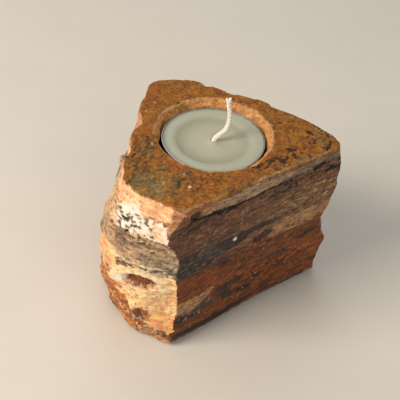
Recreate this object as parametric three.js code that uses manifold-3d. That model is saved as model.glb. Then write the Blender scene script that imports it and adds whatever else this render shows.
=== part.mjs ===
// A tealight holder made from one block of banded stone.
// The block is sawn flat on its top, its base and its long front face, and left as it broke everywhere
// else. A round recess with a flared mouth is drilled into the top. A tealight stands in it: a drawn
// aluminium cup, a puck of wax, and a braided wick crimped into a stamped steel sustainer. Felt pads are
// stuck under the base.
//
// Millimetres, +Z up, +X along the sawn front face, which looks towards -Y. The pads stand on z = 0, and
// the origin is the middle of the overall box. Everything is first placed about the axis of the recess.

import * as THREE from "three";
import { mergeVertices } from "three/addons/utils/BufferGeometryUtils.js";
import Module from "manifold-3d";

// ---------------------------------------------------------------- driving dimensions

// Block of stone
const STONE_LENGTH = 82; // top face, along X
const STONE_WIDTH = 69.5; // top face, along Y
const STONE_HEIGHT = 68.5; // sawn base to sawn top
const FRONT_REACH = 30.2; // axis of the recess to the sawn front, at the top face
const FRONT_LEAN = 2.4; // how far the sawn front leans back between top and base
const BELLY = 1.8; // how far the broken sides swell at mid height
const RELIEF = 0.8; // height of the broken surface's lumps
const RELIEF_GRAIN = 9; // size of those lumps
const LEDGE = 0.45; // how far the harder beds stand proud
const LEDGE_SPACING = 9.5; // height of one hard and one soft bed together
const BEDS_CLIMB_X = 0.12; // rise of the beds for each millimetre along X
const BEDS_CLIMB_Y = -0.05; // and along Y

// Tealight
const CUP_RADIUS = 19.2; // at the rim
const CUP_TAPER = 0.7; // how much narrower it is at the base
const CUP_HEIGHT = 15;
const CUP_WALL = 0.3;
const CUP_RIM_BEAD = 0.25; // how far the rolled rim stands out and down
const WAX_GAP = 0.15; // between the wax and the cup, all round
const WAX_BELOW_RIM = 0.35;
const WAX_RING = 5.4; // width of the raised ring round the dished middle
const WAX_DISH = 1.0; // depth of that dish
const WAX_DISH_SLOPE = 3.8; // width of the slope from the ring down to the dish's floor
const WAX_EDGE_DROP = 0.5; // how far the ring's outer edge is rounded off
const WICK_RADIUS = 0.95;
const WICK_BORE_GAP = 0.25; // between the wick and what it passes through
const SUSTAINER_RADIUS = 6.5;
const SUSTAINER_SHEET = 0.3;
const SUSTAINER_NECK = 4.5; // height of the crimped neck over the disc
const SUSTAINER_GAP = 0.15; // between the sustainer and the wax cast round it

// Recess
const CUP_CLEARANCE = 0.7; // between the cup's rim bead and the bore
const CUP_SUNK = 2.6; // depth of the cup's rim below the top face
const MOUTH_FLARE = 1.9; // how much wider the mouth is than the bore, all round
const MOUTH_WALL = 2.5; // least stone left round the mouth
const SEAT_GAP = 0.1; // under the cup

// Felt pads
const PAD_RADIUS = 6;
const PAD_THICKNESS = 1.5;
const PAD_FROM_CORNER = 7; // from a corner of the base to a pad's rim
const GLUE_FILM = 0.1; // between a pad and the stone

// ---------------------------------------------------------------- fineness of the mesh

const ROUND = 48; // segments round the tealight and the recess
const PAD_ROUND = 28;
const WICK_SIDES = 10;
const WICK_STEPS = 34;
const SIDE_STEPS = 72; // stretches round the broken sides
const LEVELS = 20; // stretches between base and top

// ---------------------------------------------------------------- the broken sides' outlines

// The broken sides seen from above, from past the front right corner round the back to past the front
// left corner. Each row is one place on the side: its x and y at the top face, then its x and y at the
// base, about the axis of the recess. They are then stretched to the stone's size, and the saw cuts the
// front.
const OUTLINE_FRONT = 30.2; // where the cut crosses the outlines as they are written
const SIDES = [
  [29, -34, 30, -32],
  [34.5, -30.4, 35.2, -28.6],
  [37, -28.5, 38.2, -26.8],
  [38.3, -24.5, 40.4, -23],
  [37.6, -18, 40, -16.5],
  [35.3, -10, 38.3, -8.5],
  [32, -1.5, 35.4, 0],
  [28, 7, 31.5, 8.5],
  [23.5, 13.5, 27, 15.5],
  [19.6, 19, 23.2, 21.5],
  [17.2, 25, 20, 27.5],
  [14.5, 30, 16, 32],
  [10.5, 33.5, 11, 35.5],
  [4, 37.8, 4.5, 38.3],
  [-0.5, 39.3, -1, 39],
  [-5.5, 36.3, -7, 37.3],
  [-10, 31.8, -13, 34],
  [-15, 26.5, -19, 31],
  [-17.8, 21, -24, 28.5],
  [-20.5, 17.2, -28.5, 25.5],
  [-25, 15.6, -33, 21.5],
  [-31, 8.6, -37, 14],
  [-35, 4, -39.8, 8],
  [-40.5, -1.5, -41.8, 2.5],
  [-43.7, -5.5, -42.6, -3.5],
  [-43.2, -12.5, -42.6, -11],
  [-41.8, -18, -41.4, -17],
  [-40, -23, -40.2, -22.4],
  [-37.8, -27.6, -38.4, -26.6],
  [-34.8, -30.4, -35.8, -28.8],
  [-30, -34, -30, -33],
];

// Knobs (positive push) and hollows (negative push) of the broken sides. Each has a place on the plan, a
// share of the stone's height, its reach across and up the face, and its push along the face's normal.
const KNOBS = [
  { at: [-36, -30], up: 0.82, across: 6, high: 8, push: 3.6 }, // swelling below the front left corner
  { at: [-36, -30], up: 0.45, across: 6, high: 13, push: -2.6 }, // waist under it
  { at: [-44, -5], up: 0.52, across: 14, high: 27, push: 4.4 }, // belly of the left side
  { at: [-43, -14], up: 0.37, across: 5, high: 2.6, push: -2.2 }, // open pocket in the left side
  { at: [-44, -4], up: 0.34, across: 4, high: 5, push: 1.6 }, // nodule on the left corner
  { at: [38, -28], up: 0.8, across: 7, high: 12, push: 1.8 }, // shoulder of the right edge
  { at: [38, -28], up: 0.42, across: 8, high: 7, push: -2.6 }, // bite out of the right edge
  { at: [38, -28], up: 0.25, across: 5, high: 3.6, push: 2.2 }, // nose under the bite
  { at: [34, -6], up: 0.62, across: 14, high: 18, push: 1.4 }, // swelling of the back right side
  { at: [17, 25], up: 0.55, across: 8, high: 24, push: -1.6 }, // scoop down the back right side
  { at: [-1, 39], up: 0.3, across: 10, high: 14, push: 1.2 }, // toe of the back corner
];

// Centreline of the wick's free end, from the middle of the dish's floor.
const WICK_BEND_STARTS = 0.6; // below the dish's floor, where the bend begins
const WICK_BEND = [
  [0.5, -0.1, 1.1],
  [2.0, -0.5, 2.6],
  [4.2, -0.9, 4.0],
  [5.2, -0.95, 5.6],
  [5.8, -0.85, 7.2],
  [6.2, -0.6, 9.2],
  [6.25, -0.1, 11.6],
  [6.05, 0.5, 14.2],
  [5.85, 0.9, 16.9],
];

// ---------------------------------------------------------------- sizes worked out from those

const STONE_BASE_Z = PAD_THICKNESS + GLUE_FILM;
const STONE_TOP_Z = STONE_BASE_Z + STONE_HEIGHT;
const BORE_RADIUS = CUP_RADIUS + CUP_RIM_BEAD + CUP_CLEARANCE;
const MOUTH_RADIUS = BORE_RADIUS + MOUTH_FLARE;
const CUP_RIM_Z = STONE_TOP_Z - CUP_SUNK;
const CUP_BASE_Z = CUP_RIM_Z - CUP_HEIGHT;
const RECESS_FLOOR_Z = CUP_BASE_Z - SEAT_GAP;
const CUP_FLOOR_Z = CUP_BASE_Z + CUP_WALL;
const WAX_BASE_Z = CUP_FLOOR_Z + WAX_GAP;
const WAX_TOP_Z = CUP_RIM_Z - WAX_BELOW_RIM;
const WICK_BORE = WICK_RADIUS + WICK_BORE_GAP;
const NECK_RADIUS = WICK_BORE + SUSTAINER_SHEET;
const SUSTAINER_TOP_Z = WAX_BASE_Z + SUSTAINER_SHEET;

// ---------------------------------------------------------------- helpers

const wasm = await Module();
wasm.setup();

// A closed three.js geometry as a manifold-3d solid.
function toSolid(geometry) {
  const bare = geometry.clone();
  bare.deleteAttribute("normal");
  bare.deleteAttribute("uv");
  const merged = mergeVertices(bare, 1e-3);
  return new wasm.Manifold(
    new wasm.Mesh({
      numProp: 3,
      vertProperties: merged.attributes.position.array,
      triVerts: new Uint32Array(merged.index.array),
    }),
  );
}

// A manifold-3d solid as a three.js geometry.
function toGeometry(solid) {
  const mesh = solid.getMesh();
  const points = new Float32Array(mesh.numVert * 3);
  for (let i = 0; i < mesh.numVert; i++) {
    points.set(mesh.vertProperties.subarray(i * mesh.numProp, i * mesh.numProp + 3), i * 3);
  }
  const geometry = new THREE.BufferGeometry();
  geometry.setAttribute("position", new THREE.BufferAttribute(points, 3));
  geometry.setIndex(new THREE.BufferAttribute(mesh.triVerts, 1));
  return geometry.toNonIndexed();
}

// A profile of [radius, height] points turned about the Z axis. The profile runs up the outside.
function turned(profile, segments = ROUND) {
  const points = profile.map(([radius, height]) => new THREE.Vector2(radius, height));
  return new THREE.LatheGeometry(points, segments).rotateX(Math.PI / 2);
}

// A repeatable number from 0 to 1 for each point of a whole-number grid.
function gridValue(i, j, k) {
  const mixed = Math.sin(i * 127.1 + j * 311.7 + k * 74.7) * 43758.5453;
  return mixed - Math.floor(mixed);
}

// Smooth noise from -1 to 1.
function noise(x, y, z) {
  const [i, j, k] = [Math.floor(x), Math.floor(y), Math.floor(z)];
  const [u, v, w] = [x - i, y - j, z - k].map((t) => t * t * (3 - 2 * t));
  let sum = 0;
  for (const [a, weightA] of [[0, 1 - u], [1, u]]) {
    for (const [b, weightB] of [[0, 1 - v], [1, v]]) {
      for (const [c, weightC] of [[0, 1 - w], [1, w]]) {
        sum += gridValue(i + a, j + b, k + c) * weightA * weightB * weightC;
      }
    }
  }
  return 2 * sum - 1;
}

const bell = (distance, reach) => Math.exp(-((distance / reach) ** 2));

// ---------------------------------------------------------------- the block of stone

const topXs = SIDES.map(([x]) => x);
const topYs = SIDES.map(([, y]) => y);
const STRETCH_X = STONE_LENGTH / (Math.max(...topXs) - Math.min(...topXs));
const STRETCH_BACK = (STONE_WIDTH - FRONT_REACH) / Math.max(...topYs);
const STRETCH_FRONT = FRONT_REACH / OUTLINE_FRONT;

// A place written about the outlines' own axis, at the sizes asked for.
function stretched(x, y) {
  return new THREE.Vector3(x * STRETCH_X, y * (y > 0 ? STRETCH_BACK : STRETCH_FRONT), 0);
}

// How far the broken side stands out from its outline, at one place and one share of the height.
function standsOut(point, share) {
  const z = share * STONE_HEIGHT;
  let out = BELLY * Math.sin(Math.PI * share);
  for (const { at, up, across, high, push } of KNOBS) {
    const apart = point.distanceTo(stretched(...at));
    out += push * bell(apart, across) * bell(z - up * STONE_HEIGHT, high);
  }
  const bed = z - BEDS_CLIMB_X * point.x - BEDS_CLIMB_Y * point.y;
  const lump = [point.x, point.y, z].map((length) => length / RELIEF_GRAIN);
  const wander = 1.5 * noise(...lump.map((length) => length / 2));
  out += LEDGE * Math.sin((2 * Math.PI * bed) / LEDGE_SPACING + wander);
  out += RELIEF * noise(...lump);
  out += 0.5 * RELIEF * noise(...lump.map((length) => 2 * length));
  const fade = Math.min(1, (1 - share) * 10); // nothing stands out at the top edge
  return out * fade;
}

// One level of the lump: its outline at a share of the height, as points in order round it.
function outlineAt(share) {
  const points = SIDES.map(([topX, topY, baseX, baseY]) =>
    stretched(baseX, baseY).lerp(stretched(topX, topY), share),
  );
  const curve = new THREE.CatmullRomCurve3(points, false, "centripetal");
  const outline = [];
  for (let i = 0; i <= SIDE_STEPS; i++) {
    const point = curve.getPointAt(i / SIDE_STEPS);
    const tangent = curve.getTangentAt(i / SIDE_STEPS);
    const out = standsOut(point, share);
    const x = point.x + tangent.y * out;
    const y = point.y - tangent.x * out;
    const pushedOut = Math.max(1, (MOUTH_RADIUS + MOUTH_WALL) / Math.hypot(x, y));
    outline.push([x * pushedOut, y * pushedOut]);
  }
  return outline;
}

// The lump before its front is sawn: levels of outline, closed by the flat base and top.
function lumpGeometry() {
  const rings = Array.from({ length: LEVELS + 1 }, (_, level) => outlineAt(level / LEVELS));
  const count = rings[0].length;
  const positions = rings.flatMap((ring, level) =>
    ring.flatMap(([x, y]) => [x, y, STONE_BASE_Z + (STONE_HEIGHT * level) / LEVELS]),
  );
  const faces = [];
  for (let level = 0; level < LEVELS; level++) {
    for (let i = 0; i < count; i++) {
      const [a, b] = [level * count + i, level * count + ((i + 1) % count)];
      faces.push(a, b, b + count, a, b + count, a + count);
    }
  }
  for (const [ring, start, flip] of [[rings[0], 0, true], [rings[LEVELS], LEVELS * count, false]]) {
    const contour = ring.map(([x, y]) => new THREE.Vector2(x, y));
    for (const [a, b, c] of THREE.ShapeUtils.triangulateShape(contour, [])) {
      faces.push(...(flip ? [start + c, start + b, start + a] : [start + a, start + b, start + c]));
    }
  }
  const geometry = new THREE.BufferGeometry();
  geometry.setAttribute("position", new THREE.Float32BufferAttribute(positions, 3));
  geometry.setIndex(faces);
  return geometry;
}

// The drill's shape: a plain bore with a flared mouth, carried on past the top face.
function recessGeometry() {
  const above = STONE_TOP_Z + MOUTH_FLARE;
  return turned([
    [0, RECESS_FLOOR_Z],
    [BORE_RADIUS, RECESS_FLOOR_Z],
    [BORE_RADIUS, CUP_RIM_Z],
    [MOUTH_RADIUS, STONE_TOP_Z],
    [MOUTH_RADIUS, above],
    [0, above],
  ]);
}

// What the saw takes off the front: a thick slab whose back face is the leaning cut.
function frontWasteGeometry() {
  const size = 3 * Math.max(STONE_LENGTH, STONE_WIDTH, STONE_HEIGHT);
  const lean = Math.atan(FRONT_LEAN / STONE_HEIGHT);
  return new THREE.BoxGeometry(size, size, size)
    .translate(0, -size / 2, 0)
    .rotateX(lean)
    .translate(0, -FRONT_REACH, STONE_TOP_Z);
}

function stoneGeometry() {
  const sawn = toSolid(lumpGeometry()).subtract(toSolid(frontWasteGeometry()));
  return toGeometry(sawn.subtract(toSolid(recessGeometry())));
}

// ---------------------------------------------------------------- the felt pads

function padGeometry() {
  return new THREE.CylinderGeometry(PAD_RADIUS, PAD_RADIUS, PAD_THICKNESS, PAD_ROUND).rotateX(Math.PI / 2);
}

// Each pad sits on the line from a corner of the base to the recess's axis.
const PAD_CORNERS = {
  front_right: [36, -28],
  back: [-1, 39],
  back_left: [-40, 6],
  front_left: [-35, -28],
};

function padPlace(corner) {
  const place = stretched(...corner);
  return place.setLength(place.length() - PAD_FROM_CORNER - PAD_RADIUS).setZ(PAD_THICKNESS / 2);
}

// ---------------------------------------------------------------- the tealight

// The cup's inner wall, which widens a little from floor to rim.
function cupInsideRadius(z) {
  return CUP_RADIUS - CUP_WALL - (CUP_TAPER * (CUP_RIM_Z - z)) / (CUP_RIM_Z - CUP_FLOOR_Z);
}

// A drawn cup with a bead rolled round its rim.
function cupGeometry() {
  const floorRadius = cupInsideRadius(CUP_FLOOR_Z);
  return turned([
    [0, CUP_BASE_Z],
    [floorRadius, CUP_BASE_Z],
    [floorRadius + CUP_WALL, CUP_FLOOR_Z],
    [CUP_RADIUS, CUP_RIM_Z - 2 * CUP_RIM_BEAD],
    [CUP_RADIUS + CUP_RIM_BEAD, CUP_RIM_Z - CUP_RIM_BEAD],
    [CUP_RADIUS, CUP_RIM_Z],
    [CUP_RADIUS - CUP_WALL, CUP_RIM_Z],
    [floorRadius, CUP_FLOOR_Z],
    [0, CUP_FLOOR_Z],
  ]);
}

// The puck: a raised ring round a dished middle, bored for the wick and pocketed for the sustainer.
function waxGeometry() {
  const edgeZ = WAX_TOP_Z - WAX_EDGE_DROP;
  const topRadius = cupInsideRadius(edgeZ) - WAX_GAP;
  const ringInside = topRadius - WAX_RING;
  const dishFloorZ = WAX_TOP_Z - WAX_DISH;
  const pocketRadius = SUSTAINER_RADIUS + SUSTAINER_GAP;
  const pocketZ = SUSTAINER_TOP_Z + SUSTAINER_GAP;
  const neckPocketRadius = NECK_RADIUS + SUSTAINER_GAP;
  const neckPocketZ = pocketZ + SUSTAINER_NECK;
  return turned([
    [pocketRadius, WAX_BASE_Z],
    [cupInsideRadius(WAX_BASE_Z) - WAX_GAP, WAX_BASE_Z],
    [topRadius, edgeZ],
    [topRadius - WAX_EDGE_DROP, WAX_TOP_Z - 0.2 * WAX_EDGE_DROP],
    [topRadius - 0.3 * WAX_RING, WAX_TOP_Z],
    [ringInside + 0.2 * WAX_RING, WAX_TOP_Z - 0.15 * WAX_DISH],
    [ringInside, WAX_TOP_Z - 0.6 * WAX_DISH],
    [ringInside - 0.4 * WAX_DISH_SLOPE, WAX_TOP_Z - 0.9 * WAX_DISH],
    [ringInside - WAX_DISH_SLOPE, dishFloorZ],
    [WICK_BORE, dishFloorZ],
    [WICK_BORE, neckPocketZ],
    [neckPocketRadius, neckPocketZ],
    [neckPocketRadius, pocketZ],
    [pocketRadius, pocketZ],
    [pocketRadius, WAX_BASE_Z],
  ]);
}

// A stamped disc with a neck drawn up from its middle and crimped on the wick.
function sustainerGeometry() {
  return turned([
    [WICK_BORE, WAX_BASE_Z],
    [SUSTAINER_RADIUS, WAX_BASE_Z],
    [SUSTAINER_RADIUS, SUSTAINER_TOP_Z],
    [NECK_RADIUS, SUSTAINER_TOP_Z],
    [NECK_RADIUS, SUSTAINER_TOP_Z + SUSTAINER_NECK],
    [WICK_BORE, SUSTAINER_TOP_Z + SUSTAINER_NECK],
    [WICK_BORE, WAX_BASE_Z],
  ]);
}

// The wick: straight up through the sustainer and the wax, then bent over.
function wickGeometry() {
  const leavesWax = WAX_TOP_Z - WAX_DISH;
  const points = [
    [0, 0, WAX_BASE_Z],
    [0, 0, (WAX_BASE_Z + leavesWax) / 2],
    [0, 0, leavesWax - WICK_BEND_STARTS],
    ...WICK_BEND.map(([x, y, z]) => [x, y, leavesWax + z]),
  ];
  const path = new THREE.CatmullRomCurve3(points.map((p) => new THREE.Vector3(...p)), false, "centripetal");
  const section = new THREE.Shape();
  for (let i = 0; i < WICK_SIDES; i++) {
    const turn = (2 * Math.PI * i) / WICK_SIDES;
    const [x, y] = [WICK_RADIUS * Math.cos(turn), WICK_RADIUS * Math.sin(turn)];
    if (i === 0) section.moveTo(x, y);
    else section.lineTo(x, y);
  }
  section.closePath();
  return new THREE.ExtrudeGeometry(section, { steps: WICK_STEPS, extrudePath: path });
}

// ---------------------------------------------------------------- materials

const STONE = new THREE.MeshStandardMaterial({ color: 0xa8693a, roughness: 0.62, metalness: 0 });
const FELT = new THREE.MeshStandardMaterial({ color: 0x4a372a, roughness: 0.95, metalness: 0 });
const ALUMINIUM = new THREE.MeshStandardMaterial({ color: 0xc9cbcc, roughness: 0.3, metalness: 1 });
const WAX = new THREE.MeshStandardMaterial({ color: 0xb9bda4, roughness: 0.42, metalness: 0 });
const COTTON = new THREE.MeshStandardMaterial({ color: 0xefe9da, roughness: 0.9, metalness: 0 });
const TINPLATE = new THREE.MeshStandardMaterial({ color: 0xb4b2ac, roughness: 0.35, metalness: 1 });

// ---------------------------------------------------------------- assembly

function piece(name, geometry, material) {
  const mesh = new THREE.Mesh(geometry, material);
  mesh.name = name;
  return mesh;
}

const holder = new THREE.Group();
holder.add(piece("stone_block", stoneGeometry(), STONE));
for (const [name, corner] of Object.entries(PAD_CORNERS)) {
  const pad = piece(`felt_pad_${name}`, padGeometry(), FELT);
  pad.position.copy(padPlace(corner));
  holder.add(pad);
}
holder.add(piece("tealight_cup", cupGeometry(), ALUMINIUM));
holder.add(piece("wax_puck", waxGeometry(), WAX));
holder.add(piece("wick_sustainer", sustainerGeometry(), TINPLATE));
holder.add(piece("wick", wickGeometry(), COTTON));

// The origin goes to the middle of the overall box, on the ground.
const box = new THREE.Box3().setFromObject(holder, true);
const middle = box.getCenter(new THREE.Vector3());
holder.position.set(-middle.x, -middle.y, 0);

const part = new THREE.Group();
part.add(holder);

export default part;
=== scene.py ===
import math

import bpy
from mathutils import Matrix, Vector, noise


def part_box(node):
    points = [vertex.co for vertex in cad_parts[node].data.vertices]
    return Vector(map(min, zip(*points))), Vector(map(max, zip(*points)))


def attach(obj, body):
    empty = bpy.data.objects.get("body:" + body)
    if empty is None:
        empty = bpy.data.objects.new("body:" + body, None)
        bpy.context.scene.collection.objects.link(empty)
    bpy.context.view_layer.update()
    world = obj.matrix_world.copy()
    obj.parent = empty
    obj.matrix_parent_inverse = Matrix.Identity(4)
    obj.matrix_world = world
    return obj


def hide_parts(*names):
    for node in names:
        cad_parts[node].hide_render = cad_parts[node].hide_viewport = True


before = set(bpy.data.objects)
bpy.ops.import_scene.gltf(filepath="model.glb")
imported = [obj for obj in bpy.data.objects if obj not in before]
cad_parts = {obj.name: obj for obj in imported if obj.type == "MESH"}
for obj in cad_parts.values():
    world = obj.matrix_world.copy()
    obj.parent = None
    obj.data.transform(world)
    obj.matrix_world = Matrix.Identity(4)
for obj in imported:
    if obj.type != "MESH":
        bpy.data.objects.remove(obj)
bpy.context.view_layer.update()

bl_info = {
    "name": "Stone Tealight Holder",
    "version": (1, 0, 0),
    "blender": (4, 5, 0),
    "location": "View3D > Sidebar > Tealight Holder",
    "description": "Makes the looks of a stone tealight holder round its packed frame",
    "category": "Add Mesh",
}

# ---------------------------------------------------------------- places read from the frame

MM = 0.001
STONE_LOW, STONE_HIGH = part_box("stone_block")
CUP_LOW, CUP_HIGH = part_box("tealight_cup")
WAX_LOW, WAX_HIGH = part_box("wax_puck")
SUSTAINER_LOW, SUSTAINER_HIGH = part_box("wick_sustainer")
PAD_NODES = sorted(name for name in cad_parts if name.startswith("felt_pad"))

# The axis of the recess, at the height of the stone's sawn base. Beds, pits and the view are placed from it.
AXIS = Vector(((CUP_LOW.x + CUP_HIGH.x) / 2, (CUP_LOW.y + CUP_HIGH.y) / 2, STONE_LOW.z))
STONE_HEIGHT = STONE_HIGH.z - STONE_LOW.z


# ---------------------------------------------------------------- small helpers


def linear(hex_code):
    """An sRGB hex colour as linear RGBA."""
    parts = [int(hex_code[i : i + 2], 16) / 255 for i in (1, 3, 5)]
    return tuple(c / 12.92 if c <= 0.04045 else ((c + 0.055) / 1.055) ** 2.4 for c in parts) + (1.0,)


def smooth(low, high, value):
    """0 below low, 1 above high, and a smooth rise between."""
    t = min(1.0, max(0.0, (value - low) / (high - low)))
    return t * t * (3 - 2 * t)


def pick(obj):
    """Leaves only obj selected and active, in object mode."""
    if bpy.context.object and bpy.context.object.mode != "OBJECT":
        bpy.ops.object.mode_set(mode="OBJECT")
    bpy.ops.object.select_all(action="DESELECT")
    obj.select_set(True)
    bpy.context.view_layer.objects.active = obj
    return obj


def choose(obj, test, kind="VERT"):
    """In edit mode, selects the vertices or faces of obj that pass the test, and nothing else."""
    bpy.ops.mesh.select_mode(type=kind)
    bpy.ops.mesh.select_all(action="DESELECT")
    bpy.ops.object.mode_set(mode="OBJECT")
    items = obj.data.vertices if kind == "VERT" else obj.data.polygons
    for item in items:
        item.select = test(item)
    bpy.ops.object.mode_set(mode="EDIT")


def apply_modifier(obj, kind, **settings):
    """Adds a modifier to obj with these settings and applies it."""
    pick(obj)
    modifier = obj.modifiers.new(kind.title(), kind)
    for name, value in settings.items():
        setattr(modifier, name, value)
    bpy.ops.object.modifier_apply(modifier=modifier.name)


def in_stone(point):
    """A point in millimetres from the recess's axis and the stone's base."""
    return (point - AXIS) / MM


def turned(name, profile, segments, closed=False, axis=AXIS):
    """A piece turned about a vertical axis through its [radius, height] points, in millimetres over z = 0.
    A closed profile comes back to its first point and leaves a hole on the axis."""
    (first_radius, first_height), *rest = profile
    bpy.ops.object.select_all(action="DESELECT")
    bpy.ops.mesh.primitive_circle_add(
        vertices=segments,
        radius=first_radius * MM,
        fill_type="NOTHING" if closed else "NGON",
        location=(axis.x, axis.y, first_height * MM),
    )
    piece = bpy.context.object
    piece.name = name
    bpy.ops.object.mode_set(mode="EDIT")
    bpy.ops.mesh.select_mode(type="VERT")
    bpy.ops.mesh.select_all(action="SELECT")
    radius, height = first_radius, first_height
    for next_radius, next_height in rest:
        rise = (0, 0, (next_height - height) * MM)
        bpy.ops.mesh.extrude_region_move(TRANSFORM_OT_translate={"value": rise})
        factor = next_radius / radius
        bpy.ops.transform.resize(
            value=(factor, factor, 1), center_override=(axis.x, axis.y, next_height * MM)
        )
        radius, height = next_radius, next_height
    bpy.ops.mesh.select_all(action="SELECT")
    bpy.ops.mesh.remove_doubles(threshold=0.002 * MM)
    bpy.ops.mesh.normals_make_consistent(inside=False)
    bpy.ops.object.mode_set(mode="OBJECT")
    return settle(piece)


def settle(piece):
    """Puts the piece's place into its mesh, so that its object sits at the origin, unturned and unscaled."""
    pick(piece)
    bpy.ops.object.transform_apply(location=True, rotation=True, scale=True)
    return piece


def soften(piece, degrees):
    """Smooth shading, with creases kept where faces meet at more than this angle."""
    pick(piece)
    bpy.ops.object.shade_smooth_by_angle(angle=math.radians(degrees))


def feed(tree, node, inputs):
    """Gives each of these sockets of a node its value, or the output that feeds it."""
    for socket, value in inputs.items():
        if isinstance(value, bpy.types.NodeSocket):
            tree.links.new(value, node.inputs[socket])
        else:
            node.inputs[socket].default_value = value


def add(tree, kind, inputs=None, stops=None, **settings):
    """Adds a node and gives back the first of its outputs that is in use. inputs are fed to its sockets, and
    stops holds a ramp's places and colours."""
    made = tree.nodes.new("ShaderNode" + kind)
    for name, value in settings.items():
        setattr(made, name, value)
    feed(tree, made, inputs or {})
    if stops:
        ramp = made.color_ramp.elements
        while len(ramp) < len(stops):
            ramp.new(0.5)
        for element, (place, colour) in zip(ramp, stops):
            element.position = place
            element.color = linear(colour)
    return next((output for output in made.outputs if output.enabled), made)


def new_material(name):
    """An empty node material, its tree, its shader, and object coordinates in millimetres from the axis."""
    material = bpy.data.materials.new(name)
    material.use_nodes = True
    tree = material.node_tree
    tree.nodes.clear()
    surface = add(tree, "BsdfPrincipled")
    add(tree, "OutputMaterial", {"Surface": surface})
    place = add(tree, "TexCoord").node.outputs["Object"]
    from_axis = {"Vector": place, "Location": -AXIS / MM, "Scale": (1 / MM,) * 3}
    millimetres = add(tree, "Mapping", from_axis)
    return material, tree, surface.node, millimetres


def dress(piece, material, body, slot, *replaced):
    """Gives a finished piece its material and the body it rides on, and hides the CAD nodes it replaces. The
    slot is not used.
    """
    piece.data.materials.clear()
    piece.data.materials.append(material)
    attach(piece, body)
    if replaced:
        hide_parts(*replaced)


# ---------------------------------------------------------------- sizes and colours to change


COLOUR = {"subtype": "COLOR", "size": 4, "min": 0, "max": 1}
LENGTH = {"unit": "LENGTH", "precision": 5}


class StoneSettings(bpy.types.PropertyGroup):
    grain: bpy.props.FloatProperty(
        name="Mesh grain",
        description="Size of the finest faces on the stone's skin",
        default=0.63 * MM,
        min=0.4 * MM,
        **LENGTH,
    )
    facet: bpy.props.FloatProperty(
        name="Facet size",
        description="Breadth of the flat chips where the rock broke",
        default=7 * MM,
        **LENGTH,
    )
    ledge: bpy.props.FloatProperty(
        name="Ledge height",
        description="How far hard beds stand proud of soft ones on the broken sides",
        default=0.16 * MM,
        **LENGTH,
    )
    edge_chip: bpy.props.FloatProperty(
        name="Edge chips",
        description="Depth of the chips along the sawn edges",
        default=0.8 * MM,
        **LENGTH,
    )
    seam_colour: bpy.props.FloatVectorProperty(
        name="Dark seams",
        description="Colour of the thin dark seams between beds",
        default=linear("#2c211e"),
        **COLOUR,
    )
    patch_colour: bpy.props.FloatVectorProperty(
        name="Olive patches",
        description="Colour of the greenish grey patches in the top bed",
        default=linear("#64572f"),
        **COLOUR,
    )


class TealightSettings(bpy.types.PropertyGroup):
    wax_colour: bpy.props.FloatVectorProperty(
        name="Wax",
        description="Colour of the set wax",
        default=linear("#a9ad9e"),
        **COLOUR,
    )
    wick_colour: bpy.props.FloatVectorProperty(
        name="Wick",
        description="Colour of the cotton braid",
        default=linear("#fbf8f0"),
        **COLOUR,
    )
    strand: bpy.props.FloatProperty(
        name="Strand",
        description="Thickness of one strand of the wick's braid",
        default=0.62 * MM,
        **LENGTH,
    )
    braid_pitch: bpy.props.FloatProperty(
        name="Braid pitch",
        description="Length of wick in which a strand goes once round",
        default=5.2 * MM,
        **LENGTH,
    )
    felt_colour: bpy.props.FloatVectorProperty(
        name="Felt",
        description="Colour of the felt pads",
        default=linear("#4a372a"),
        **COLOUR,
    )


class StageSettings(bpy.types.PropertyGroup):
    azimuth: bpy.props.FloatProperty(
        name="Azimuth",
        description="Direction the camera looks in, from +Y towards +X",
        default=math.radians(38.84),
        subtype="ANGLE",
    )
    elevation: bpy.props.FloatProperty(
        name="Elevation",
        description="Angle at which the camera looks down",
        default=math.radians(41.7),
        subtype="ANGLE",
    )
    roll: bpy.props.FloatProperty(
        name="Roll",
        description="Tilt of the camera to its left",
        default=math.radians(5.7),
        subtype="ANGLE",
    )
    distance: bpy.props.FloatProperty(
        name="Distance",
        description="From the camera to the point it looks at",
        default=0.371,
        unit="LENGTH",
    )
    aim: bpy.props.FloatVectorProperty(
        name="Aim",
        description="Point looked at, from the recess's axis and the stone's base",
        subtype="XYZ",
        unit="LENGTH",
        default=(4.7 * MM, 10.2 * MM, 25 * MM),
    )
    lens: bpy.props.FloatProperty(
        name="Lens",
        description="Focal length, on a sensor 36 mm wide",
        default=81,
        unit="CAMERA",
    )
    floor_colour: bpy.props.FloatVectorProperty(
        name="Floor",
        description="Colour of the pale floor",
        default=linear("#dcd9d3"),
        **COLOUR,
    )


# ---------------------------------------------------------------- the stone: shape

BED_CLIMB_X = 0.03  # rise of the beds for each millimetre along X
SAW_ALLOWANCE = 2.5  # how far the lump is carried past each saw cut before it is sawn
COARSE_GRAIN = 1.1  # size of the lump's faces while its larger chips are broken off
LARGE_CHIP, MIDDLE_CHIP = 15, 8  # breadth of the two coarse kinds of chip
LUMP_HEIGHT = 1.5  # of the small lumps along the foot of the left side
PIT_SPACING, PIT_DEPTH = 4.2, 0.45  # of the pits in the sawn faces
HOLLOW_DEPTH = 2.4  # of the left side beside the front corner
CREASE = 38  # degrees past which two of the stone's faces meet in an edge

# The three saw cuts: a point on each, from the recess's axis and the stone's base, and its outward normal.
FRONT_REACH = 30.2
FRONT_LEAN = 2.4
FRONT_NORMAL = Vector((0, -STONE_HEIGHT / MM, -FRONT_LEAN)).normalized()
TOP_CUT = (Vector((0, 0, STONE_HEIGHT / MM)), Vector((0, 0, 1)))
BASE_CUT = (Vector((0, 0, 0)), Vector((0, 0, -1)))
FRONT_CUT = (Vector((0, -FRONT_REACH, STONE_HEIGHT / MM)), FRONT_NORMAL)
SAW_CUTS = [TOP_CUT, BASE_CUT, FRONT_CUT]

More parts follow.
